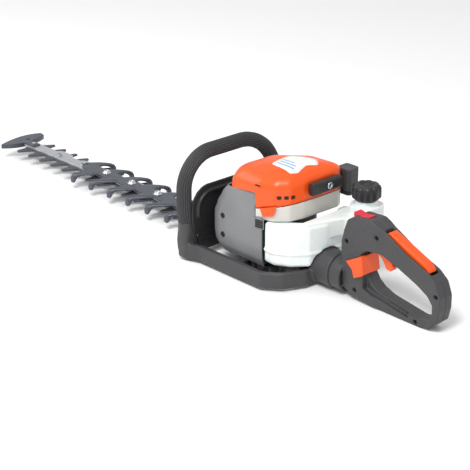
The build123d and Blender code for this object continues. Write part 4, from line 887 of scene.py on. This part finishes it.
# ---------------------------------------------------------------- stage
FLOOR_GAP = 0.0005           # the floor lies this far below the part
FLOOR_Z = first_bounds[0][2] - FLOOR_GAP
FLOOR_R = 6
FLOOR_SIDES = 64
floor_ring = []
for i in range(FLOOR_SIDES):
    floor_angle = 2 * math.pi * i / FLOOR_SIDES
    floor_ring.append((FLOOR_R * math.cos(floor_angle), FLOOR_R * math.sin(floor_angle), FLOOR_Z))
floor_mesh = bpy.data.meshes.new("floor")
floor_mesh.from_pydata(floor_ring, [], [tuple(range(FLOOR_SIDES))])
FLOOR_FINISH = finish("floor", linear(246, 246, 246), 0.7, bump=0.02, vary=0.004, scuff=0.0, spread=0.03)
floor_mesh.materials.append(FLOOR_FINISH)
floor = bpy.data.objects.new("floor", floor_mesh)
bpy.context.scene.collection.objects.link(floor)

world = bpy.data.worlds.new("studio")
world.use_nodes = True
world.node_tree.nodes["Background"].inputs["Color"].default_value = (1, 1, 1, 1)
world.node_tree.nodes["Background"].inputs["Strength"].default_value = 0.72
bpy.context.scene.world = world
bpy.context.scene.view_settings.view_transform = "Standard"


def light(name, place, aim, size, power):
    """A soft square lamp."""
    data = bpy.data.lights.new(name, "AREA")
    data.size = size
    data.energy = power
    lamp = bpy.data.objects.new(name, data)
    lamp.location = place
    lamp.rotation_euler = (Vector(aim) - Vector(place)).to_track_quat("-Z", "Y").to_euler()
    bpy.context.scene.collection.objects.link(lamp)


light("key", (0.5, -1.5, 2.5), (0, 0, 0.1), 1.0, 62)
light("front", (-1.8, -0.8, 1.2), (-0.3, 0, 0.1), 1.2, 12)

# ---------------------------------------------------------------- camera
AZIMUTH, ELEVATION = math.radians(47.148), math.radians(22.907)
CAMERA_AT = Vector((1.671058, -1.701334, 1.074190))
SENSOR = 36
IMAGE = 470                  # width of the picture in pixels
FOCAL = SENSOR * 1500 / IMAGE
right = Vector((math.cos(AZIMUTH), math.sin(AZIMUTH), 0))
tilt = math.sin(ELEVATION)
up = Vector((-math.sin(AZIMUTH) * tilt, math.cos(AZIMUTH) * tilt, math.cos(ELEVATION)))
back = right.cross(up)
pose = Matrix((right, up, back)).transposed().to_4x4()
pose.translation = CAMERA_AT
camera_data = bpy.data.cameras.new("camera")
camera_data.lens = FOCAL
camera_data.sensor_width = SENSOR
camera_data.clip_end = 20
camera = bpy.data.objects.new("camera", camera_data)
camera.matrix_world = pose
bpy.context.scene.collection.objects.link(camera)
bpy.context.scene.camera = camera
